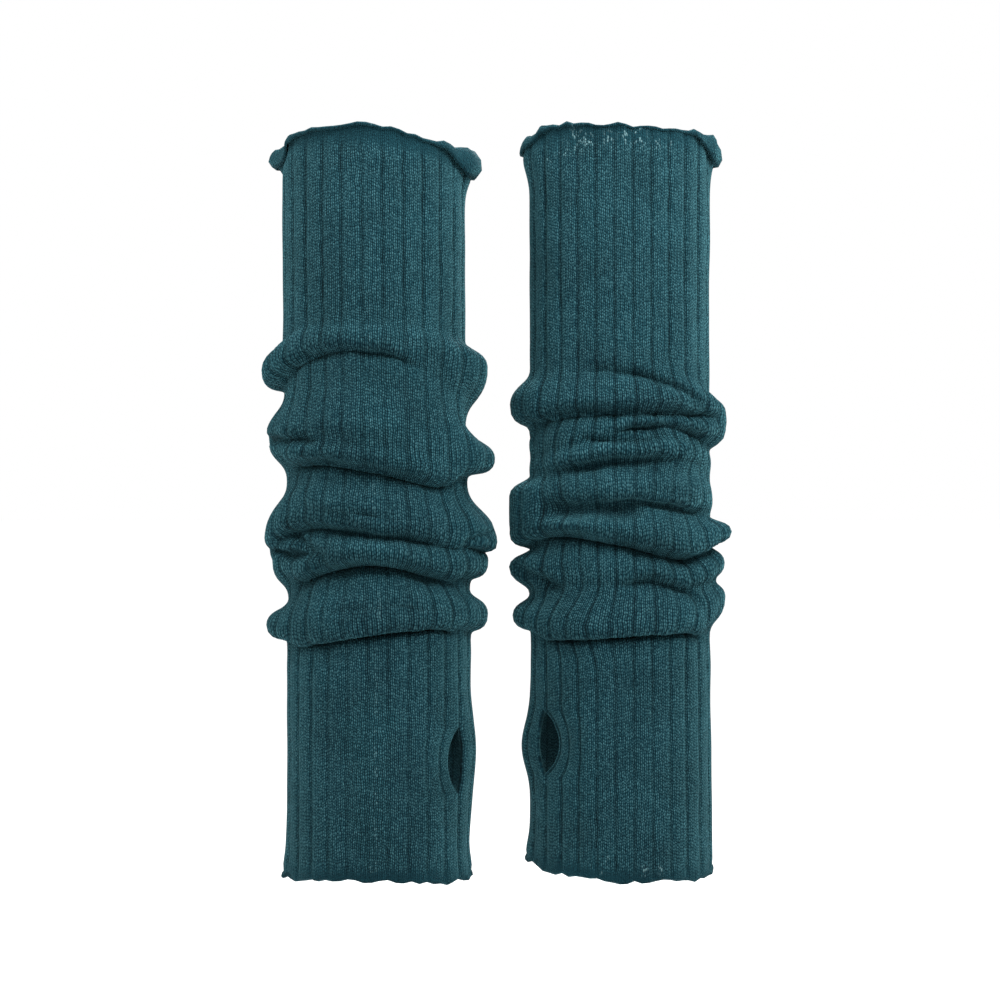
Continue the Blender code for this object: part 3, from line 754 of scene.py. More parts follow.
    def near_creases(
        self, height: np.ndarray, angles: np.ndarray
    ) -> Iterator[tuple[Crease, np.ndarray, np.ndarray]]:
        """The creases that come near some of the points.

        Args:
            height: heights of points, in metres.
            angles: their section angles, in radians.

        Yields:
            Each crease, how much of its depth it has at each point's angle, and how many of its
            widths each point lies above its line.
        """
        up = height / MM
        for number, crease in enumerate(self.warmer.creases):
            low, high = self.crease_spans[number]
            if up.max() < low or up.min() > high:
                continue
            span = crease.to_angle - crease.from_angle
            turned = np.degrees(angles) - crease.from_angle
            turned = np.mod(turned + 180 - span / 2, 360) - 180 + span / 2
            part = np.clip(turned / span, 0.0, 1.0)
            line = self.crease_line(crease, part, angles)
            line = line + self.CREASE_WAVE * np.sin(self.CREASE_WAVES * angles + number)
            taper = smooth_step(CREASE_FULLNESS * np.sin(math.pi * part))
            swelling = np.sin(self.CREASE_SWELLS * angles + 2 * number)
            taper = taper * (1 - CREASE_UNEVENNESS + CREASE_UNEVENNESS * swelling)
            yield crease, taper, (up - line) / crease.width

    def creasing(self, height: np.ndarray, angles: np.ndarray) -> tuple[np.ndarray, np.ndarray]:
        """What the listed creases add.

        Args:
            height: heights of points, in metres.
            angles: their section angles, in radians.

        Returns:
            How far each point drops, and how far it stands out, in metres.
        """
        drop, rise = np.zeros_like(angles), np.zeros_like(angles)
        for crease, taper, off in self.near_creases(height, angles):
            trough = np.exp(-(off**2))
            lip = crease.lip * np.exp(-((off - CREASE_LIP_PLACE) ** 2))
            rise = rise + taper * crease.depth * (CREASE_LIP_RISE * lip - trough) * MM
            drop = drop + taper * crease.depth * CREASE_LIP_DROP * lip * MM
        return drop, rise

    def shading(self, height: np.ndarray, angles: np.ndarray) -> np.ndarray:
        """How deep in a crease each point lies, from 0 to 1, which sets the painted shade in the creases
        and how flat their ribs are pressed.
        """
        crease_shade = np.zeros_like(angles)
        for crease, taper, off in self.near_creases(height, angles):
            deep = min(1.0, crease.depth / DEEP_CREASE)
            crease_shade = np.maximum(crease_shade, taper * deep * np.exp(-(off**2)))
        return crease_shade

    def smoothing(self, height: np.ndarray, angles: np.ndarray) -> np.ndarray:
        """How far the cloth is stretched smooth over its furrows, from 0 to 1."""
        smoothed = np.zeros_like(angles)
        for spot in self.warmer.smooth_spots:
            near = nearness(angles, height, spot.angle, spot.height, spot.spread, spot.reach)
            smoothed = np.maximum(smoothed, spot.strength * near)
        return smoothed

    def bunching(self, height: np.ndarray, angles: np.ndarray) -> np.ndarray:
        """How far the wales are bunched over a ridge's crest, from 0 to 1."""
        bunched = np.zeros_like(height)
        for fold in self.warmer.folds:
            if fold.name.startswith("ridge"):
                over = (height - fold.height.smooth(angles)) / BUNCH_REACH
                bunched = np.maximum(bunched, np.exp(-((over + BUNCH_BELOW) ** 2)))
        return bunched

    def points(self, place: Place, shares: np.ndarray, side: np.ndarray) -> np.ndarray:
        """Points of the middle surface on one ring.

        Args:
            place: the ring's stretch and where in it.
            shares: shares of the way round.
            side: 1 and -1 on the slit's two lips, 0 elsewhere.

        Returns:
            An array of points, in metres.
        """
        warmer = self.warmer
        moved = shares + self.parting(place, shares, side)
        angles = self.angle_at(moved)
        height, bulge = self.profile(place, angles)
        angles = self.angle_at(moved + self.swaying(height, angles))
        height, bulge = self.profile(place, angles)
        for swell in warmer.swells:
            near = nearness(angles, height, swell.angle, swell.height, swell.spread, swell.reach)
            bulge = bulge + swell.rise * MM * near
        if place[0] is Stretch.CLOTH:
            drop, rise = self.creasing(height, angles)
            height = height - drop
            bulge = bulge + rise + WOBBLE * ripple(WOBBLE_WAVES, angles, height)
        else:
            bulge = bulge + WOBBLE * ripple(WOBBLE_WAVES, angles, height) * (1 - place[1])
        half_width = np.interp(height, self.levels, self.widths)
        half_depth = np.interp(height, self.levels, self.depths)
        lean = np.interp(height, self.levels, self.leans)
        out_x, out_y = np.cos(angles) / half_width, np.sin(angles) / half_depth
        length = np.hypot(out_x, out_y)
        x = warmer.axis_x + lean + half_width * np.cos(angles) + bulge * out_x / length
        y = half_depth * np.sin(angles) + bulge * out_y / length
        return np.stack([x, y, height], axis=-1)

    def normals(self, place: Place, shares: np.ndarray, side: np.ndarray) -> np.ndarray:
        """Outward directions of the middle surface on one ring.

        Args:
            place: the ring's stretch and where in it.
            shares: shares of the way round.
            side: 1 and -1 on the slit's two lips, 0 elsewhere.

        Returns:
            An array of unit vectors.
        """
        stretch, where = place
        last = len(self.warmer.folds) - 1.0 if stretch is Stretch.CLOTH else 1.0
        before = (stretch, max(where - self.NUDGE, 0.0))
        after = (stretch, min(where + self.NUDGE, last))
        upward = self.points(before, shares, side) - self.points(after, shares, side)
        if stretch is Stretch.TOP_RIM:
            upward = -upward
        ahead = np.where(side < 0, 0.0, self.NUDGE_AROUND)
        behind = np.where(side > 0, 0.0, self.NUDGE_AROUND)
        around = self.points(place, shares + ahead, side) - self.points(place, shares - behind, side)
        normal = np.cross(around, upward)
        return normal / np.linalg.norm(normal, axis=-1, keepdims=True)


def smooth_step(part: np.ndarray) -> np.ndarray:
    """0 below 0, 1 above 1, and a smooth step between them."""
    part = np.clip(part, 0.0, 1.0)
    return part * part * (3 - 2 * part)


def ripple(waves: tuple[Wave, ...], angles: np.ndarray, height: np.ndarray | float = 0.0) -> np.ndarray:
    """The sum of waves round a tube.

    Args:
        waves: the waves.
        angles: section angles, in radians.
        height: heights, in metres, for waves that climb.

    Returns:
        The sum at each point, in the waves' own unit.
    """
    total = np.zeros_like(angles)
    for wave in waves:
        total = total + wave.size * np.sin(wave.count * angles + height / MM / wave.climb + wave.start)
    return total


def nearness(
    angles: np.ndarray,
    height: np.ndarray,
    angle: float,
    level: float,
    spread: float,
    reach: float,
) -> np.ndarray:
    """How near each point lies to a place on the tube, 1 at it and falling off to 0.

    Args:
        angles: section angles, in radians.
        height: heights, in metres.
        angle: the place's angle, in degrees.
        level: the place's height, in millimetres.
        spread: how far round it reaches, in degrees.
        reach: how far up and down it reaches, in millimetres.

    Returns:
        The nearness of each point.
    """
    turned = np.mod(np.degrees(angles) - angle + 180, 360) - 180
    return np.exp(-((turned / spread) ** 2) - ((height / MM - level) / reach) ** 2)


class Shell(NamedTuple):
    """Rows of one side of the wall: vertex numbers, wales and courses, ring by ring."""

    numbers: np.ndarray
    wales: np.ndarray
    courses: np.ndarray


class Faces(NamedTuple):
    """Faces with equally many corners: their points' numbers, and each corner's wale and course."""

    numbers: np.ndarray
    places: np.ndarray


def gather(faces: list[list[tuple[Shell, int, int]]]) -> Faces:
    """Faces from corners that are each given by a side, a ring and a column."""
    numbers = [[side.numbers[ring, column] for side, ring, column in face] for face in faces]
    places = [
        [(side.wales[column], -side.courses[ring, column]) for side, ring, column in face]
        for face in faces
    ]
    return Faces(np.array(numbers), np.array(places))


@dataclass
class WristWarmer:
    """One tube of rib knit, with rolled rims, slouch folds and a thumb slit."""

    name: str
    node: str
    axis_x: float
    furrow_shift: float
    sections: tuple[Section, ...]
    folds: tuple[Fold, ...]
    top_rim: Rim
    bottom_rim: Rim
    slit: Slit
    swells: tuple[Swell, ...]
    creases: tuple[Crease, ...]
    sways: tuple[Sway, ...]
    thin_spots: tuple[Spot, ...]
    smooth_spots: tuple[Spot, ...]
    cut_width: float = 230 * MM
    cut_length: float = 420 * MM

    def build(self) -> bpy.types.Object:
        """Make the closed shell of cloth, with its stitches laid out in a UV map.

        Returns:
            The piece, at the origin, with its place in its mesh.
        """
        form = TubeForm(self)
        places = form.ring_places()
        columns = WALE_COUNT * COLUMNS_PER_WALE
        courses = self.courses_down(form, places, columns)
        points: list[np.ndarray] = []
        outer = self.add_side(points, form, places, columns, True, courses)
        inner = self.add_side(points, form, places, INNER_COLUMNS, False, courses)
        faces = [
            self.skin(outer, flip=False),
            self.skin(inner, flip=True),
            self.close_rim(outer, inner, 0, flip=False),
            self.close_rim(outer, inner, len(places) - 1, flip=True),
            self.close_slit(places, outer, inner),
        ]
        mesh = bpy.data.meshes.new(self.name)
        corners = [corner for block in faces for corner in block.numbers.tolist()]
        mesh.from_pydata(np.concatenate(points).tolist(), [], corners)
        mesh.update()
        layer = mesh.uv_layers.new(name="knit")
        layer.data.foreach_set("uv", np.concatenate([block.places.ravel() for block in faces]))
        # Felt along the rolls, which darkens them, in part as painted shade.
        rolled = np.zeros(len(mesh.vertices))
        for side in (outer, inner):
            for ring, place in enumerate(places):
                if place[0] is not Stretch.CLOTH:
                    started = min(1.0, ROLL_FELT_AND_SHADE_START * place[1])
                    rolled[side.numbers[ring]] = started * (ROLL_FELT_AND_SHADE - self.kept_ribs(place))
        self.mark(mesh, form, rolled)
        mesh.shade_smooth()
        piece = bpy.data.objects.new(self.name, mesh)
        bpy.context.scene.collection.objects.link(piece)
        return piece

    def in_slit(self, place: Place) -> bool:
        """Whether a ring crosses the slit between its two ends."""
        names = [fold.name for fold in self.folds]
        stretch, where = place
        return stretch is Stretch.CLOTH and names.index("slit_top") < where < names.index("slit_bottom")

    def courses_down(self, form: TubeForm, places: list[Place], columns: int) -> np.ndarray:
        """How many courses lie above each ring at each column, for cloth knitted evenly.

        Args:
            form: the middle surface.
            places: every ring.
            columns: how many columns the outer side has.

        Returns:
            An array of courses, by ring and column.
        """
        shares, side = self.column_shares(form, columns)
        rings = np.array([form.points(place, shares, side) for place in places])
        steps = np.linalg.norm(np.diff(rings, axis=0), axis=2)
        down = np.concatenate([np.zeros((1, columns + 1)), np.cumsum(steps, axis=0)])
        return down / down[-1] * float(down[-1].mean()) / COURSE

    @staticmethod
    def column_shares(form: TubeForm, count: int) -> tuple[np.ndarray, np.ndarray]:
        """Shares of the way round for a ring's columns, from the slit's line round to it again."""
        shares = form.slit_share + np.arange(count + 1) / count
        side = np.zeros(count + 1, dtype=int)
        side[0], side[-1] = 1, -1
        return shares, side

    def add_side(
        self,
        points: list[np.ndarray],
        form: TubeForm,
        places: list[Place],
        count: int,
        outside: bool,
        courses: np.ndarray,
    ) -> Shell:
        """Add the points of one side of the wall.

        Args:
            points: the piece's points so far, which grow.
            form: the middle surface.
            places: every ring.
            count: how many columns this side has.
            outside: whether it is the ribbed outer side.
            courses: courses by ring and outer column.

        Returns:
            The side's rows. Rings that the slit doesn't cut close on themselves.
        """
        shares, side = self.column_shares(form, count)
        ratio = (courses.shape[1] - 1) // count
        wales = form.ribs_from_furrow(shares) * WALES_PER_RIB + 0.5
        start = sum(len(block) for block in points)
        numbers = np.zeros((len(places), count + 1), dtype=int)
        for ring, place in enumerate(places):
            middle = form.points(place, shares, side)
            normal = form.normals(place, shares, side)
            offset = np.full(count + 1, -WALL / 2)
            if outside:
                ribbed = self.relief(form, shares, middle[:, 2]) * self.kept_ribs(place)
                offset = (WALL / 2 + ribbed) * self.pressed(form, shares, middle[:, 2])
            ring_points = middle + normal * offset[:, None]
            cut = self.in_slit(place)
            kept = ring_points if cut else ring_points[:-1]
            numbers[ring] = start + np.arange(count + 1)
            if not cut:
                numbers[ring, -1] = start
            start += len(kept)
            points.append(kept)
        return Shell(numbers, wales, courses[:, ::ratio])

    def kept_ribs(self, place: Place) -> float:
        """How much of the ribs is left on a ring: all on the cloth, less along a rolled rim."""
        if place[0] is Stretch.CLOTH:
            return 1.0
        rim = self.top_rim if place[0] is Stretch.TOP_RIM else self.bottom_rim
        return max(rim.ribbed, 1.0 - ROLL_FADE * place[1])

    def relief(self, form: TubeForm, shares: np.ndarray, height: np.ndarray) -> np.ndarray:
        """How far the ribs and their wales stand out of the furrows.

        Args:
            form: the middle surface.
            shares: shares of the way round.
            height: the points' heights, in metres.

        Returns:
            The relief at each point, in metres.
        """
        ribs = form.ribs_from_furrow(shares)
        number = np.round(ribs)
        from_furrow = np.abs(ribs - number) * WALES_PER_RIB
        up = height / MM
        quick, slow = RIB_CHANGES
        uneven = np.sin(quick * number + up / RIB_CHANGE_CLIMB) * np.sin(slow * number)
        uneven = 1 - RIB_UNEVENNESS + RIB_UNEVENNESS * uneven
        slack = smooth_step((up - SLOUCH_BOTTOM) / SLOUCH_FADE)
        slack = slack * smooth_step((SLOUCH_TOP - up) / SLOUCH_FADE)
        angles = form.angle_at(shares)
        deep = uneven * (1 - SLACK_FURROWS * slack) * (1 - form.smoothing(height, angles))
        flank = 1 - deep * np.exp(-((from_furrow / FURROW_WALES) ** 2))
        crown = 1 - RIB_CROWN + RIB_CROWN * np.sin(math.pi * from_furrow / WALES_PER_RIB)
        wales = ribs * WALES_PER_RIB
        ridge = 0.5 + 0.5 * np.cos(FULL_TURN * wales)
        wale = WALE_HEIGHT * (1 + BUNCHING * form.bunching(height, angles))
        full = RIB_HEIGHT * flank * crown + wale * ridge * flank
        covered = smooth_step((height - self.folds[0].height.smooth(angles)) / COVERED + 1)
        return full * (1 - (1 - self.top_rim.ribbed) * covered)

    @staticmethod
    def pressed(form: TubeForm, shares: np.ndarray, height: np.ndarray) -> np.ndarray:
        """How thick the outer half of the wall stays, from 1 down to little inside a crease.

        Args:
            form: the middle surface.
            shares: shares of the way round.
            height: the points' heights, in metres.

        Returns:
            The share of the thickness that is left at each point.
        """
        crease_shade = form.shading(height, form.angle_at(shares))
        return 1 - PRESSING * smooth_step(PRESSING_FULLNESS * crease_shade)

    @staticmethod
    def skin(side: Shell, flip: bool) -> Faces:
        """Quads between neighbouring rings of one side.

        Args:
            side: the side's rows.
            flip: whether the faces turn inwards.

        Returns:
            The faces.
        """
        wales = np.broadcast_to(side.wales, side.numbers.shape)
        grid = np.stack([side.numbers, wales, -side.courses], axis=-1)
        corners = [grid[:-1, :-1], grid[1:, :-1], grid[1:, 1:], grid[:-1, 1:]]
        corners = corners[::-1] if flip else corners
        quads = np.stack(corners, axis=2).reshape(-1, 4, 3)
        return Faces(quads[..., 0].astype(int), quads[..., 1:])

    @staticmethod
    def close_rim(outer: Shell, inner: Shell, ring: int, flip: bool) -> Faces:
        """The narrow face at a free edge, from many outer points to fewer inner ones.

        Args:
            outer: the outer side's rows.
            inner: the inner side's rows.
            ring: the free edge's ring.
            flip: whether the edge is the bottom one.

        Returns:
            The faces.
        """
        ratio = (outer.numbers.shape[1] - 1) // (inner.numbers.shape[1] - 1)
        triangles = []
        for step in range(inner.numbers.shape[1] - 1):
            start = step * ratio
            middle = start + ratio // 2
            triangles += [[(inner, step), (outer, j), (outer, j + 1)] for j in range(start, middle)]
            triangles.append([(inner, step), (outer, middle), (inner, step + 1)])
            triangles += [
                [(inner, step + 1), (outer, j), (outer, j + 1)] for j in range(middle, start + ratio)
            ]
        if flip:
            triangles = [face[::-1] for face in triangles]
        return gather([[(side, ring, column) for side, column in face] for face in triangles])

    def close_slit(self, places: list[Place], outer: Shell, inner: Shell) -> Faces:
        """The two lips of the thumb slit, from the outer side of the wall to the inner.

        Args:
            places: every ring.
            outer: the outer side's rows.
            inner: the inner side's rows.

        Returns:
            The faces.
        """
        cut = [number for number, place in enumerate(places) if self.in_slit(place)]
        quads = []
        for upper in range(cut[0] - 1, cut[-1] + 1):
            lower = upper + 1
            quads.append([(outer, upper, 0), (inner, upper, 0), (inner, lower, 0), (outer, lower, 0)])
            quads.append([(outer, upper, -1), (outer, lower, -1), (inner, lower, -1), (inner, upper, -1)])
        return gather(quads)

    def mark(self, mesh: bpy.types.Mesh, form: TubeForm, rolled: np.ndarray) -> None:
        """Write how the knit changes from place to place on the mesh's points, with the painted shade in
        the creases and, in part, on the felt of the rims and hems.

        Args:
            mesh: the piece's mesh.
            form: the middle surface.
            rolled: how far each point lies in a rolled rim, from 0 to 1.
        """
        place = np.zeros(len(mesh.vertices) * 3)
        mesh.vertices.foreach_get("co", place)
        place = place.reshape(-1, 3)
        height = place[:, 2]
        lean = np.interp(height, form.levels, form.leans)
        half_width = np.interp(height, form.levels, form.widths)
        half_depth = np.interp(height, form.levels, form.depths)
        angles = np.arctan2(place[:, 1] / half_depth, (place[:, 0] - self.axis_x - lean) / half_width)
        angles = np.mod(angles, FULL_TURN)
        # Painted light: where light through the thin stitches shows in the colour.
        thin = np.zeros(len(place))
        for spot in self.thin_spots:
            near = nearness(angles, height, spot.angle, spot.height, spot.spread, spot.reach)
            thin = np.maximum(thin, spot.strength * near)
        # Felt under the top roll and along the hem, which darkens them, in part as painted shade.
        brim = self.folds[0].height.smooth(angles)
        felt_and_shade = smooth_step((height - brim) / COVERED + 1) * (1.0 - RIBBED_LOSS * self.top_rim.ribbed)
        hem = self.folds[-1].height.smooth(angles)
        felt_and_shade = np.maximum(felt_and_shade, HEM_FELT_AND_SHADE * smooth_step((hem - height) / COVERED + HEM_START))
        from_axis = np.hypot((place[:, 0] - self.axis_x - lean) / half_width, place[:, 1] / half_depth)
        stands_out = (from_axis - 1) * np.hypot(half_width * np.cos(angles), half_depth * np.sin(angles))
        lobes = LOBE_FELT * smooth_step((stands_out - FOLD_ROOM) / FOLD_ROOM)
        # The rolled mark gathers all the felt, and with it the painted shade of the rims and hems.
        rolled = np.clip(np.maximum(rolled, np.maximum(felt_and_shade, lobes)), 0.0, 1.0)
        marks = {
            "thin": thin,
            "bunched": form.bunching(height, angles) * (1 - rolled),
            # Painted shade in the creases, left off the rims and hems.
            "crease_shade": form.shading(height, angles) * (1 - rolled),
            "smoothed": np.maximum(form.smoothing(height, angles), rolled),
            "rolled": rolled,
        }
        for name, values in marks.items():
            attribute = mesh.attributes.new(name, "FLOAT", "POINT")
            attribute.data.foreach_set("value", values.astype(np.float32))

    def dress(self, piece: bpy.types.Object, yarn: "KnitYarn") -> None:
        """Give the cloth its knit, hang it on the root, and hide the solid it dresses.

        Args:
            piece: the warmer's shell.
            yarn: its finish.
        """
        piece.data.materials.append(yarn.material())
        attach(piece, "root")
        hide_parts(self.node)


def linear(colour: str) -> tuple[float, float, float, float]:
    """A colour's linear values.

    Args:
        colour: an sRGB colour as six hex digits after a #.

    Returns:
        Red, green, blue and full alpha.
    """
    values = [int(colour[start : start + 2], 16) / 255 for start in (1, 3, 5)]
    channels = [v / 12.92 if v <= 0.04045 else ((v + 0.055) / 1.055) ** 2.4 for v in values]
    return (*channels, 1.0)


def add_node(tree: Tree, kind: str, inputs: dict[Any, Any], **settings: Any) -> bpy.types.Node:
    """Add a node with its settings and links.

    Args:
        tree: the material's node tree.
        kind: the node's type.
        inputs: for each input socket, by name or number, a value or the socket that feeds it.
        settings: the node's own properties.

    Returns:
        The node.
    """
    node = tree.nodes.new(kind)
    for name, value in settings.items():
        setattr(node, name, value)
    for socket, value in inputs.items():
        if isinstance(value, Socket):
            tree.links.new(value, node.inputs[socket])
        else:
            node.inputs[socket].default_value = value
    return node


@dataclass(frozen=True)
class KnitYarn:
    """Soft wool-blend yarn in rib knit: matt, slightly hairy, with a dry sheen at grazing angles.

    Each stitch is a V of two plump legs, so the cloth reads as fine dotted lines down the wales.
    Sizes across and down the knit count in wales and courses. The colours run from the gap between
    yarns over their body to their crest: the dark gap is painted shade between the yarns and the light
    crest a painted highlight on them. through is the light that shows through an open stitch, painted
    into the colour. A real hair is far too fine to show, so the hairs are drawn as soft noise about a
    millimetre wide.
    """

    name: str = "teal_rib_knit"
    # The gap colour is painted shade between the yarns, the crest colour a painted highlight on them.
    gap: str = "#01121a"
    body: str = "#13353d"
    body_place: float = 0.40
    crest: str = "#3d656c"
    # Painted light: the colour of the light through an open stitch.
    through: str = "#9cc6ca"
    leg_slant: float = 0.22
    slip: float = 1.0
    wander: float = 0.9
    wander_rate: float = 0.3
    wander_apart: float = 7.3
    fuzz: float = 0.26
    hair_scale: float = 1.6
    twist: float = 0.74
    wale_share: float = 0.16
    drift: float = 0.9
    drift_scale: float = 0.22
    chance: float = 0.45
    open_stitches: float = 0.74
    open_width: float = 3.2
    # The furrows darken twice, in the lightness and in the colour: painted shade.
    furrow_painted_shade: float = 0.45
    furrow_shadow: float = 0.62
    furrow_reach: float = 0.10
    furrow_patches: float = 0.11
    # How far the creases darken: painted shade.
    crease_shade: float = 0.34
    # The lightness of felt and how far it takes over: in part the felt's own tone, in part painted shade.
    felt_and_shade: float = 0.25
    felt_and_shade_share: float = 0.85
    stripes: float = 0.45
    stripe_light: float = 1.45
    clouds: float = 45.0
    stitch_depth: float = 0.42 * MM
    hairiness: float = 0.9
    roughness: float = 0.9
    specular: float = 0.06
    sheen: float = 0.34
    sheen_spread: float = 0.32
    sheen_tint: str = "#64a3ac"

    def material(self) -> bpy.types.Material:
        """Build the knit's material.

        Returns:
            The material, which reads the piece's "knit" UV map and its point attributes.
        """
        material = bpy.data.materials.new(self.name)
        material.use_nodes = True
        tree = material.node_tree
        tree.nodes.clear()
        stitch = self.stitches(tree)
        colour = self.colour(tree, stitch)
        feeds = {0: stitch["hairs"], 1: self.hairiness, 2: stitch["height"]}
        hairy = add_node(tree, "ShaderNodeMath", feeds, operation="MULTIPLY_ADD").outputs[0]
        bump = add_node(
            tree, "ShaderNodeBump", {"Strength": 1.0, "Distance": self.stitch_depth, "Height": hairy}
        )
        shader = add_node(
            tree,
            "ShaderNodeBsdfPrincipled",
            {
                "Base Color": colour,
                "Roughness": self.roughness,
                "Specular IOR Level": self.specular,
                "Sheen Weight": self.sheen,
                "Sheen Roughness": self.sheen_spread,
                "Sheen Tint": linear(self.sheen_tint),
                "Normal": bump.outputs[0],
            },
        )
        add_node(tree, "ShaderNodeOutputMaterial", {"Surface": shader.outputs[0]})
        return material

    def stitches(self, tree: Tree) -> dict[str, Socket]:
        """Draw the stitches over the UV map, where 1 is a wale across and a course down.

        Args:
            tree: the material's node tree.

        Returns:
            The sockets of the stitches' height, each leg's chance, the furrows' mask, the way from
            the nearest furrow to the rib's crown, the fine hairs, and the wales' roundness.
        """
        uv = add_node(tree, "ShaderNodeUVMap", {}, uv_map="knit").outputs[0]
        across, down = self.drifting(tree, uv)
        part = add_node(tree, "ShaderNodeMath", {0: across}, operation="FRACT").outputs[0]
        off = add_node(tree, "ShaderNodeMath", {0: part, 1: 0.5}, operation="SUBTRACT").outputs[0]
        off = add_node(tree, "ShaderNodeMath", {0: off}, operation="ABSOLUTE").outputs[0]
        leg = add_node(tree, "ShaderNodeMath", {0: across, 1: 2.0}, operation="MULTIPLY").outputs[0]
        leg = add_node(tree, "ShaderNodeMath", {0: leg}, operation="FLOOR").outputs[0]
        feeds = {0: off, 1: 2 * self.leg_slant, 2: self.slipping(tree, leg, down)}
        leaned = add_node(tree, "ShaderNodeMath", feeds, operation="MULTIPLY_ADD").outputs[0]
        row = add_node(tree, "ShaderNodeMath", {0: leaned}, operation="FLOOR").outputs[0]
        along = add_node(tree, "ShaderNodeMath", {0: leaned}, operation="FRACT").outputs[0]
        along = add_node(tree, "ShaderNodeMath", {0: along, 1: math.pi}, operation="MULTIPLY").outputs[0]
        along = add_node(tree, "ShaderNodeMath", {0: along}, operation="SINE").outputs[0]
        side = add_node(tree, "ShaderNodeMath", {0: off, 1: FULL_TURN}, operation="MULTIPLY").outputs[0]
        side = add_node(tree, "ShaderNodeMath", {0: side}, operation="SINE").outputs[0]
        feeds = {0: along, 1: self.twist, 2: 1 - self.twist}
        beads = add_node(tree, "ShaderNodeMath", feeds, operation="MULTIPLY_ADD").outputs[0]
        beads = add_node(tree, "ShaderNodeMath", {0: beads, 1: side}, operation="MULTIPLY").outputs[0]
        wale = add_node(tree, "ShaderNodeMath", {0: off, 1: math.pi}, operation="MULTIPLY").outputs[0]
        wale = add_node(tree, "ShaderNodeMath", {0: wale}, operation="COSINE").outputs[0]
        feeds = {0: self.wale_share, 2: beads, 3: wale}
        height = add_node(tree, "ShaderNodeMix", feeds, data_type="FLOAT").outputs[0]
        cell = add_node(tree, "ShaderNodeCombineXYZ", {0: leg, 1: row}).outputs[0]
        chance = add_node(tree, "ShaderNodeTexWhiteNoise", {"Vector": cell}, noise_dimensions="2D")
        feeds = {0: across, 1: 1.0 / WALES_PER_RIB, 2: -0.5 / WALES_PER_RIB}
        rib = add_node(tree, "ShaderNodeMath", feeds, operation="MULTIPLY_ADD").outputs[0]
        crown = add_node(tree, "ShaderNodeMath", {0: rib, 1: 0.5}, operation="PINGPONG").outputs[0]
        feeds = {"Vector": uv, "Scale": self.hair_scale, "Detail": 2.0}
        hairs = add_node(tree, "ShaderNodeTexNoise", feeds).outputs[0]
        return {
            "height": height,
            "chance": chance.outputs["Value"],
            "furrow": self.furrows(tree, uv, crown),
            "crown": crown,
            "hairs": hairs,
            "wale": wale,
        }

    def drifting(self, tree: Tree, uv: Socket) -> tuple[Socket, Socket]:
        """Let the wales and courses drift softly, as in cloth that has been worn.

        Args:
            tree: the material's node tree.
            uv: the knit's own place.

        Returns:
            The place across and the place down.
        """
        centre = (-0.5, -0.5, 0.0)
        steps = (("ADD", {1: centre}), ("SCALE", {3: self.drift}), ("ADD", {1: uv}))
        feeds = {"Vector": uv, "Scale": self.drift_scale, "Detail": 1.0}
        laid = add_node(tree, "ShaderNodeTexNoise", feeds).outputs["Color"]
        for operation, others in steps:
            feeds = {0: laid, **others}
            laid = add_node(tree, "ShaderNodeVectorMath", feeds, operation=operation).outputs[0]
        place = add_node(tree, "ShaderNodeSeparateXYZ", {0: laid})
        return place.outputs[0], place.outputs[1]

    def slipping(self, tree: Tree, leg: Socket, down: Socket) -> Socket:
        """Slip each column of legs up or down, and let it wander, so that no rows line up.

        Args:
            tree: the material's node tree.
            leg: the column's number.
            down: the place down the knit.

        Returns:
            The slipped place down the knit.
        """
        slip = add_node(tree, "ShaderNodeTexWhiteNoise", {"W": leg}, noise_dimensions="1D")
        feeds = {0: slip.outputs["Value"], 1: self.slip, 2: down}
        slipped = add_node(tree, "ShaderNodeMath", feeds, operation="MULTIPLY_ADD").outputs[0]
        feeds = {0: down, 1: self.wander_rate}
        slower = add_node(tree, "ShaderNodeMath", feeds, operation="MULTIPLY").outputs[0]
        feeds = {0: leg, 1: self.wander_apart}
        apart = add_node(tree, "ShaderNodeMath", feeds, operation="MULTIPLY").outputs[0]
        column = add_node(tree, "ShaderNodeCombineXYZ", {0: apart, 1: slower}).outputs[0]
        feeds = {"Vector": column, "Scale": 1.0, "Detail": 1.0}
        wander = add_node(tree, "ShaderNodeTexNoise", feeds).outputs[0]
        feeds = {0: wander, 1: 2 * self.wander, 2: slipped}
        return add_node(tree, "ShaderNodeMath", feeds, operation="MULTIPLY_ADD").outputs[0]

    def furrows(self, tree: Tree, uv: Socket, crown: Socket) -> Socket:
        """Mask the furrows, fainter in patches and where the cloth is stretched smooth.

        Args:
            tree: the material's node tree.
            uv: the knit's own place.
            crown: the way from the nearest furrow to the rib's crown.

        Returns:
            The mask's socket, 1 in a furrow.
        """
        feeds = {"Vector": uv, "Scale": self.furrow_patches, "Detail": 2.0}
        patches = add_node(tree, "ShaderNodeTexNoise", feeds).outputs[0]
        feeds = {"Value": patches, "From Min": 0.35, "From Max": 0.65, "To Min": 0.5, "To Max": 1.0}
        patches = add_node(tree, "ShaderNodeMapRange", feeds).outputs[0]
        smoothed = add_node(tree, "ShaderNodeAttribute", {}, attribute_name="smoothed").outputs["Fac"]
        kept = add_node(tree, "ShaderNodeMath", {0: 1.0, 1: smoothed}, operation="SUBTRACT").outputs[0]
        feeds = {"Value": crown, "From Max": self.furrow_reach, "To Min": 1.0, "To Max": 0.0}
        furrow = add_node(tree, "ShaderNodeMapRange", feeds, interpolation_type="SMOOTHSTEP").outputs[0]
        for share in (patches, kept):
            feeds = {0: furrow, 1: share}
            furrow = add_node(tree, "ShaderNodeMath", feeds, operation="MULTIPLY").outputs[0]
        return furrow

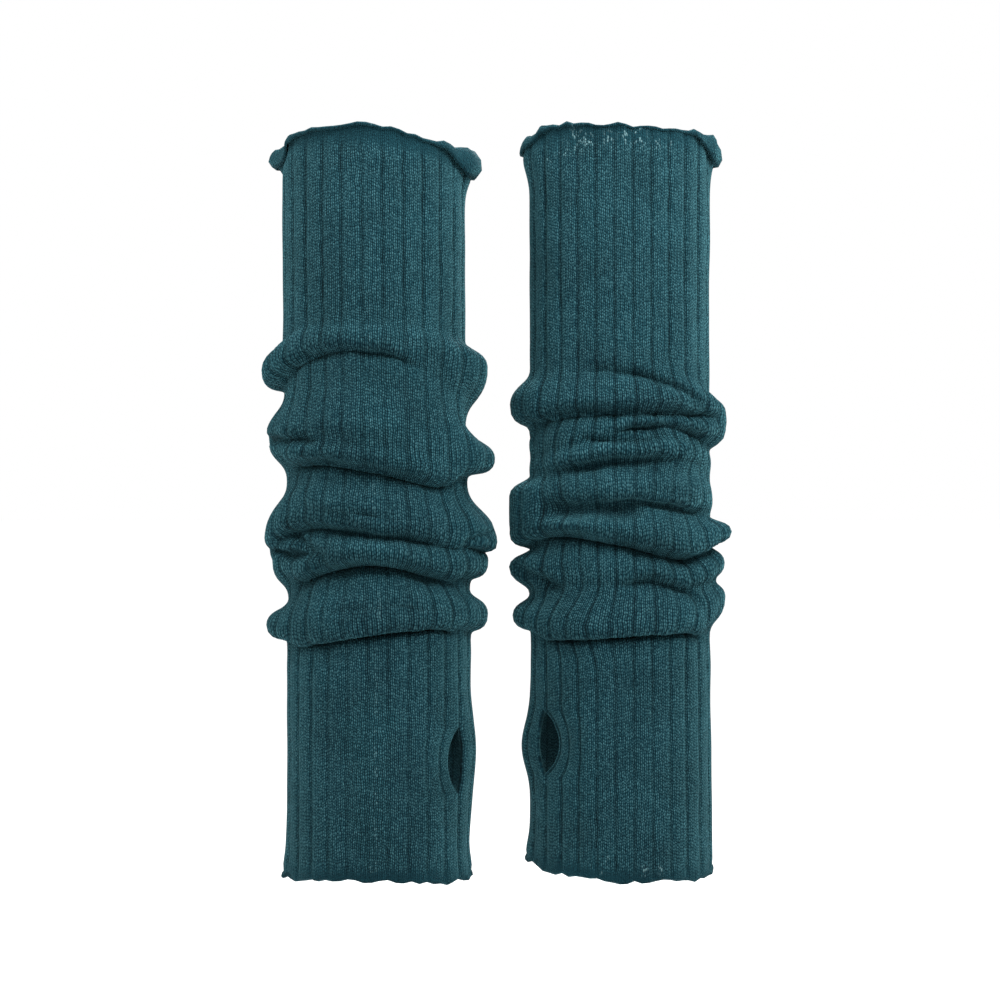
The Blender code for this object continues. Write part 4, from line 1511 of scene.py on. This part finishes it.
    def colour(self, tree: Tree, stitch: dict[str, Socket]) -> Socket:
        """Colour the stitches: dark between the yarns as painted shade, lighter on their crests as a
        painted highlight.

        Args:
            tree: the material's node tree.
            stitch: the sockets that stitches() gives.

        Returns:
            The colour's socket.
        """
        # Painted shade and highlight: from the dark gap between the yarns to the light crest.
        ramp = add_node(tree, "ShaderNodeValToRGB", {0: self.lightness(tree, stitch)})
        ramp.color_ramp.elements[0].color = linear(self.gap)
        ramp.color_ramp.elements[1].color = linear(self.crest)
        middle = ramp.color_ramp.elements.new(self.body_place)
        middle.color = linear(self.body)
        where = add_node(tree, "ShaderNodeTexCoord", {}).outputs["Object"]
        feeds = {"Vector": where, "Scale": self.clouds, "Detail": 3.0}
        cloud = add_node(tree, "ShaderNodeTexNoise", feeds).outputs[0]
        feeds = {"Value": cloud, "From Min": 0.3, "From Max": 0.7, "To Min": 0.85, "To Max": 1.15}
        cloud = add_node(tree, "ShaderNodeMapRange", feeds).outputs[0]
        # Painted shade: the furrows and the creases darken here, and random clouds mottle the colour.
        feeds = {0: stitch["furrow"], 1: -self.furrow_shadow, 2: 1.0}
        painted_shade_and_mottling = add_node(tree, "ShaderNodeMath", feeds, operation="MULTIPLY_ADD").outputs[0]
        # Painted shade: darker in the creases, by how deep in a crease each point lies.
        crease_shade = add_node(tree, "ShaderNodeAttribute", {}, attribute_name="crease_shade").outputs["Fac"]
        feeds = {0: crease_shade, 1: -self.crease_shade, 2: 1.0}
        crease_shade = add_node(tree, "ShaderNodeMath", feeds, operation="MULTIPLY_ADD").outputs[0]
        for share in (cloud, crease_shade):
            painted_shade_and_mottling = add_node(tree, "ShaderNodeMath", {0: painted_shade_and_mottling, 1: share}, operation="MULTIPLY").outputs[0]
        feeds = {0: ramp.outputs[0], 3: painted_shade_and_mottling}
        mottled = add_node(tree, "ShaderNodeVectorMath", feeds, operation="SCALE").outputs[0]
        # Painted light: the through colour in the open stitches.
        feeds = {0: self.open_places(tree, stitch), 6: mottled, 7: linear(self.through)}
        return add_node(tree, "ShaderNodeMix", feeds, data_type="RGBA").outputs[2]

    def lightness(self, tree: Tree, stitch: dict[str, Socket]) -> Socket:
        """How light each place is: by stitch, striped where bunched, and even and darker on felt, in part
        as painted shade; darker in the furrows as painted shade.

        Args:
            tree: the material's node tree.
            stitch: the sockets that stitches() gives.

        Returns:
            The lightness, from 0 between the yarns to 1 on their crests.
        """
        feeds = {0: stitch["chance"], 1: self.chance, 2: 1 - self.chance}
        shade = add_node(tree, "ShaderNodeMath", feeds, operation="MULTIPLY_ADD").outputs[0]
        feeds = {0: stitch["height"], 1: shade}
        shade = add_node(tree, "ShaderNodeMath", feeds, operation="MULTIPLY").outputs[0]
        striped = shade
        for share in (stitch["wale"], self.stripe_light):
            feeds = {0: striped, 1: share}
            striped = add_node(tree, "ShaderNodeMath", feeds, operation="MULTIPLY").outputs[0]
        # On felt the shade turns even and darker, in part as painted shade.
        changes = (("bunched", self.stripes, striped), ("rolled", self.felt_and_shade_share, self.felt_and_shade))
        for mark, strength, changed in changes:
            share = add_node(tree, "ShaderNodeAttribute", {}, attribute_name=mark).outputs["Fac"]
            feeds = {0: share, 1: strength}
            share = add_node(tree, "ShaderNodeMath", feeds, operation="MULTIPLY").outputs[0]
            feeds = {0: share, 2: shade, 3: changed}
            shade = add_node(tree, "ShaderNodeMix", feeds, data_type="FLOAT").outputs[0]
        feeds = {0: stitch["hairs"], 1: 2 * self.fuzz, 2: -self.fuzz}
        fuzz = add_node(tree, "ShaderNodeMath", feeds, operation="MULTIPLY_ADD").outputs[0]
        shade = add_node(tree, "ShaderNodeMath", {0: shade, 1: fuzz}, operation="ADD").outputs[0]
        # Painted shade: darker in the furrows.
        feeds = {0: stitch["furrow"], 1: -self.furrow_painted_shade, 2: 1.0}
        furrow_painted_shade = add_node(tree, "ShaderNodeMath", feeds, operation="MULTIPLY_ADD").outputs[0]
        return add_node(tree, "ShaderNodeMath", {0: shade, 1: furrow_painted_shade}, operation="MULTIPLY").outputs[0]

    def open_places(self, tree: Tree, stitch: dict[str, Socket]) -> Socket:
        """Where light shows through, painted into the colour: some stitches of the thin places, out of
        the furrows.

        Args:
            tree: the material's node tree.
            stitch: the sockets that stitches() gives.

        Returns:
            How open each place is, from 0 to 1.
        """
        thin = add_node(tree, "ShaderNodeAttribute", {}, attribute_name="thin").outputs["Fac"]
        feeds = {0: stitch["chance"], 1: self.open_stitches}
        hole = add_node(tree, "ShaderNodeMath", feeds, operation="GREATER_THAN").outputs[0]
        for cover in (thin, stitch["height"], stitch["crown"], self.open_width):
            feeds = {0: hole, 1: cover}
            hole = add_node(
                tree, "ShaderNodeMath", feeds, operation="MULTIPLY", use_clamp=True
            ).outputs[0]
        return hole


@dataclass(frozen=True)
class PaintedBoard:
    """Matt white paint on a smooth studio floor."""

    name: str = "white_floor_paint"
    colour: str = "#fbfbfb"
    roughness: float = 0.9
    stipple_scale: float = 900.0
    stipple_strength: float = 0.1
    stipple_depth: float = 0.2 * MM

    def material(self) -> bpy.types.Material:
        """Build the floor's material, with the paint's faint roller stipple."""
        material = bpy.data.materials.new(self.name)
        material.use_nodes = True
        tree = material.node_tree
        shader = tree.nodes["Principled BSDF"]
        shader.inputs["Base Color"].default_value = linear(self.colour)
        shader.inputs["Roughness"].default_value = self.roughness
        where = add_node(tree, "ShaderNodeTexCoord", {}).outputs["Object"]
        feeds = {"Vector": where, "Scale": self.stipple_scale}
        stipple = add_node(tree, "ShaderNodeTexNoise", feeds).outputs[0]
        feeds = {"Strength": self.stipple_strength, "Distance": self.stipple_depth, "Height": stipple}
        bump = add_node(tree, "ShaderNodeBump", feeds)
        tree.links.new(bump.outputs[0], shader.inputs["Normal"])
        return material


@dataclass(frozen=True)
class SoftBox:
    """A square soft box: its place, what it faces, its side in metres and its power in watts."""

    name: str
    place: tuple[float, float, float]
    aim: tuple[float, float, float]
    side: float
    power: float

    def hang(self) -> None:
        """Hang the soft box in the scene."""
        panel = bpy.data.lights.new(self.name, "AREA")
        panel.size = self.side
        panel.energy = self.power
        holder = bpy.data.objects.new(self.name, panel)
        holder.location = self.place
        facing = Vector(self.aim) - Vector(self.place)
        holder.rotation_euler = facing.to_track_quat("-Z", "Y").to_euler()
        bpy.context.scene.collection.objects.link(holder)


@dataclass
class Studio:
    """The pale floor, the soft lights and the camera. Angles are in degrees."""

    camera_place: tuple[float, float, float] = (0.0558, -0.650, 0.0)
    view_width: float = 0.450
    sensor: float = 36.0
    floor_height: float = -0.30
    floor_size: float = 40.0
    sky: float = 0.26
    overhead: float = 2.7
    overhead_spread: float = 70.0
    overhead_turn: tuple[float, float, float] = (8.0, 0.0, 30.0)
    soft_boxes: tuple[SoftBox, ...] = (
        SoftBox("key", (0.32, -0.28, 0.40), (0.08, 0.0, 0.12), 0.24, 4.3),
        SoftBox("side", (-0.33, -0.20, 0.44), (0.02, 0.0, 0.14), 0.30, 2.8),
        SoftBox("back", (0.10, 0.36, 0.38), (0.06, 0.0, 0.10), 0.30, 3.5),
    )

    def build(self) -> None:
        """Make the floor, the lights and the camera."""
        self.make_floor()
        self.make_lights()
        self.make_camera()

    def make_floor(self) -> None:
        """Lay the floor."""
        bpy.ops.mesh.primitive_plane_add(size=self.floor_size, location=(0, 0, self.floor_height))
        floor = bpy.context.active_object
        floor.name = "studio_floor"
        floor.data.materials.append(PaintedBoard().material())

    def make_lights(self) -> None:
        """Hang the soft key and fill lights and light the room."""
        light = bpy.data.lights.new("overhead", "SUN")
        light.energy = self.overhead
        light.angle = math.radians(self.overhead_spread)
        lamp = bpy.data.objects.new("overhead", light)
        lamp.rotation_euler = [math.radians(degrees) for degrees in self.overhead_turn]
        bpy.context.scene.collection.objects.link(lamp)
        for soft_box in self.soft_boxes:
            soft_box.hang()
        world = bpy.data.worlds.new("white_room")
        bpy.context.scene.world = world
        world.use_nodes = True
        tree = world.node_tree
        tree.nodes.clear()
        white = (1.0, 1.0, 1.0, 1.0)
        room = add_node(tree, "ShaderNodeBackground", {"Color": white, "Strength": self.sky})
        wall = add_node(tree, "ShaderNodeBackground", {"Color": white, "Strength": 1.0})
        seen = add_node(tree, "ShaderNodeLightPath", {}).outputs["Is Camera Ray"]
        mixed = add_node(
            tree, "ShaderNodeMixShader", {0: seen, 1: room.outputs[0], 2: wall.outputs[0]}
        )
        add_node(tree, "ShaderNodeOutputWorld", {"Surface": mixed.outputs[0]})
        bpy.context.scene.view_settings.view_transform = "Standard"

    def make_camera(self) -> None:
        """Set the camera level, at the photograph's distance and angle."""
        camera = bpy.data.cameras.new("camera")
        camera.sensor_width = self.sensor
        camera.lens = self.sensor * -self.camera_place[1] / self.view_width
        camera.clip_start = 0.01
        camera.clip_end = 100.0
        holder = bpy.data.objects.new("camera", camera)
        holder.location = self.camera_place
        holder.rotation_euler = (math.radians(90.0), 0.0, 0.0)
        bpy.context.scene.collection.objects.link(holder)
        bpy.context.scene.camera = holder


LEFT_WARMER = WristWarmer(
    name="left_warmer_cloth",
    node="left_warmer",
    axis_x=0.0,
    furrow_shift=-0.24,
    sections=LEFT_SECTIONS,
    folds=LEFT_FOLDS,
    top_rim=LEFT_TOP_RIM,
    bottom_rim=LEFT_BOTTOM_RIM,
    slit=LEFT_SLIT,
    swells=LEFT_SWELLS,
    creases=LEFT_CREASES,
    sways=LEFT_SWAYS,
    thin_spots=LEFT_THIN_SPOTS,
    smooth_spots=LEFT_SMOOTH_SPOTS,
)
RIGHT_WARMER = WristWarmer(
    name="right_warmer_cloth",
    node="right_warmer",
    axis_x=RIGHT_AXIS_X,
    furrow_shift=0.49,
    sections=RIGHT_SECTIONS,
    folds=RIGHT_FOLDS,
    top_rim=RIGHT_TOP_RIM,
    bottom_rim=RIGHT_BOTTOM_RIM,
    slit=RIGHT_SLIT,
    swells=RIGHT_SWELLS,
    creases=RIGHT_CREASES,
    sways=RIGHT_SWAYS,
    thin_spots=RIGHT_THIN_SPOTS,
    smooth_spots=RIGHT_SMOOTH_SPOTS,
)


def main() -> None:
    """Build both warmers and the studio, and report each piece."""
    logging.basicConfig(level=logging.INFO, format="%(name)s: %(message)s")
    Studio().build()
    yarn = KnitYarn()
    for warmer in (LEFT_WARMER, RIGHT_WARMER):
        piece = warmer.build()
        warmer.dress(piece, yarn)
        LOG.info("%s: %d faces", piece.name, len(piece.data.polygons))


if __name__ == "__main__":
    main()
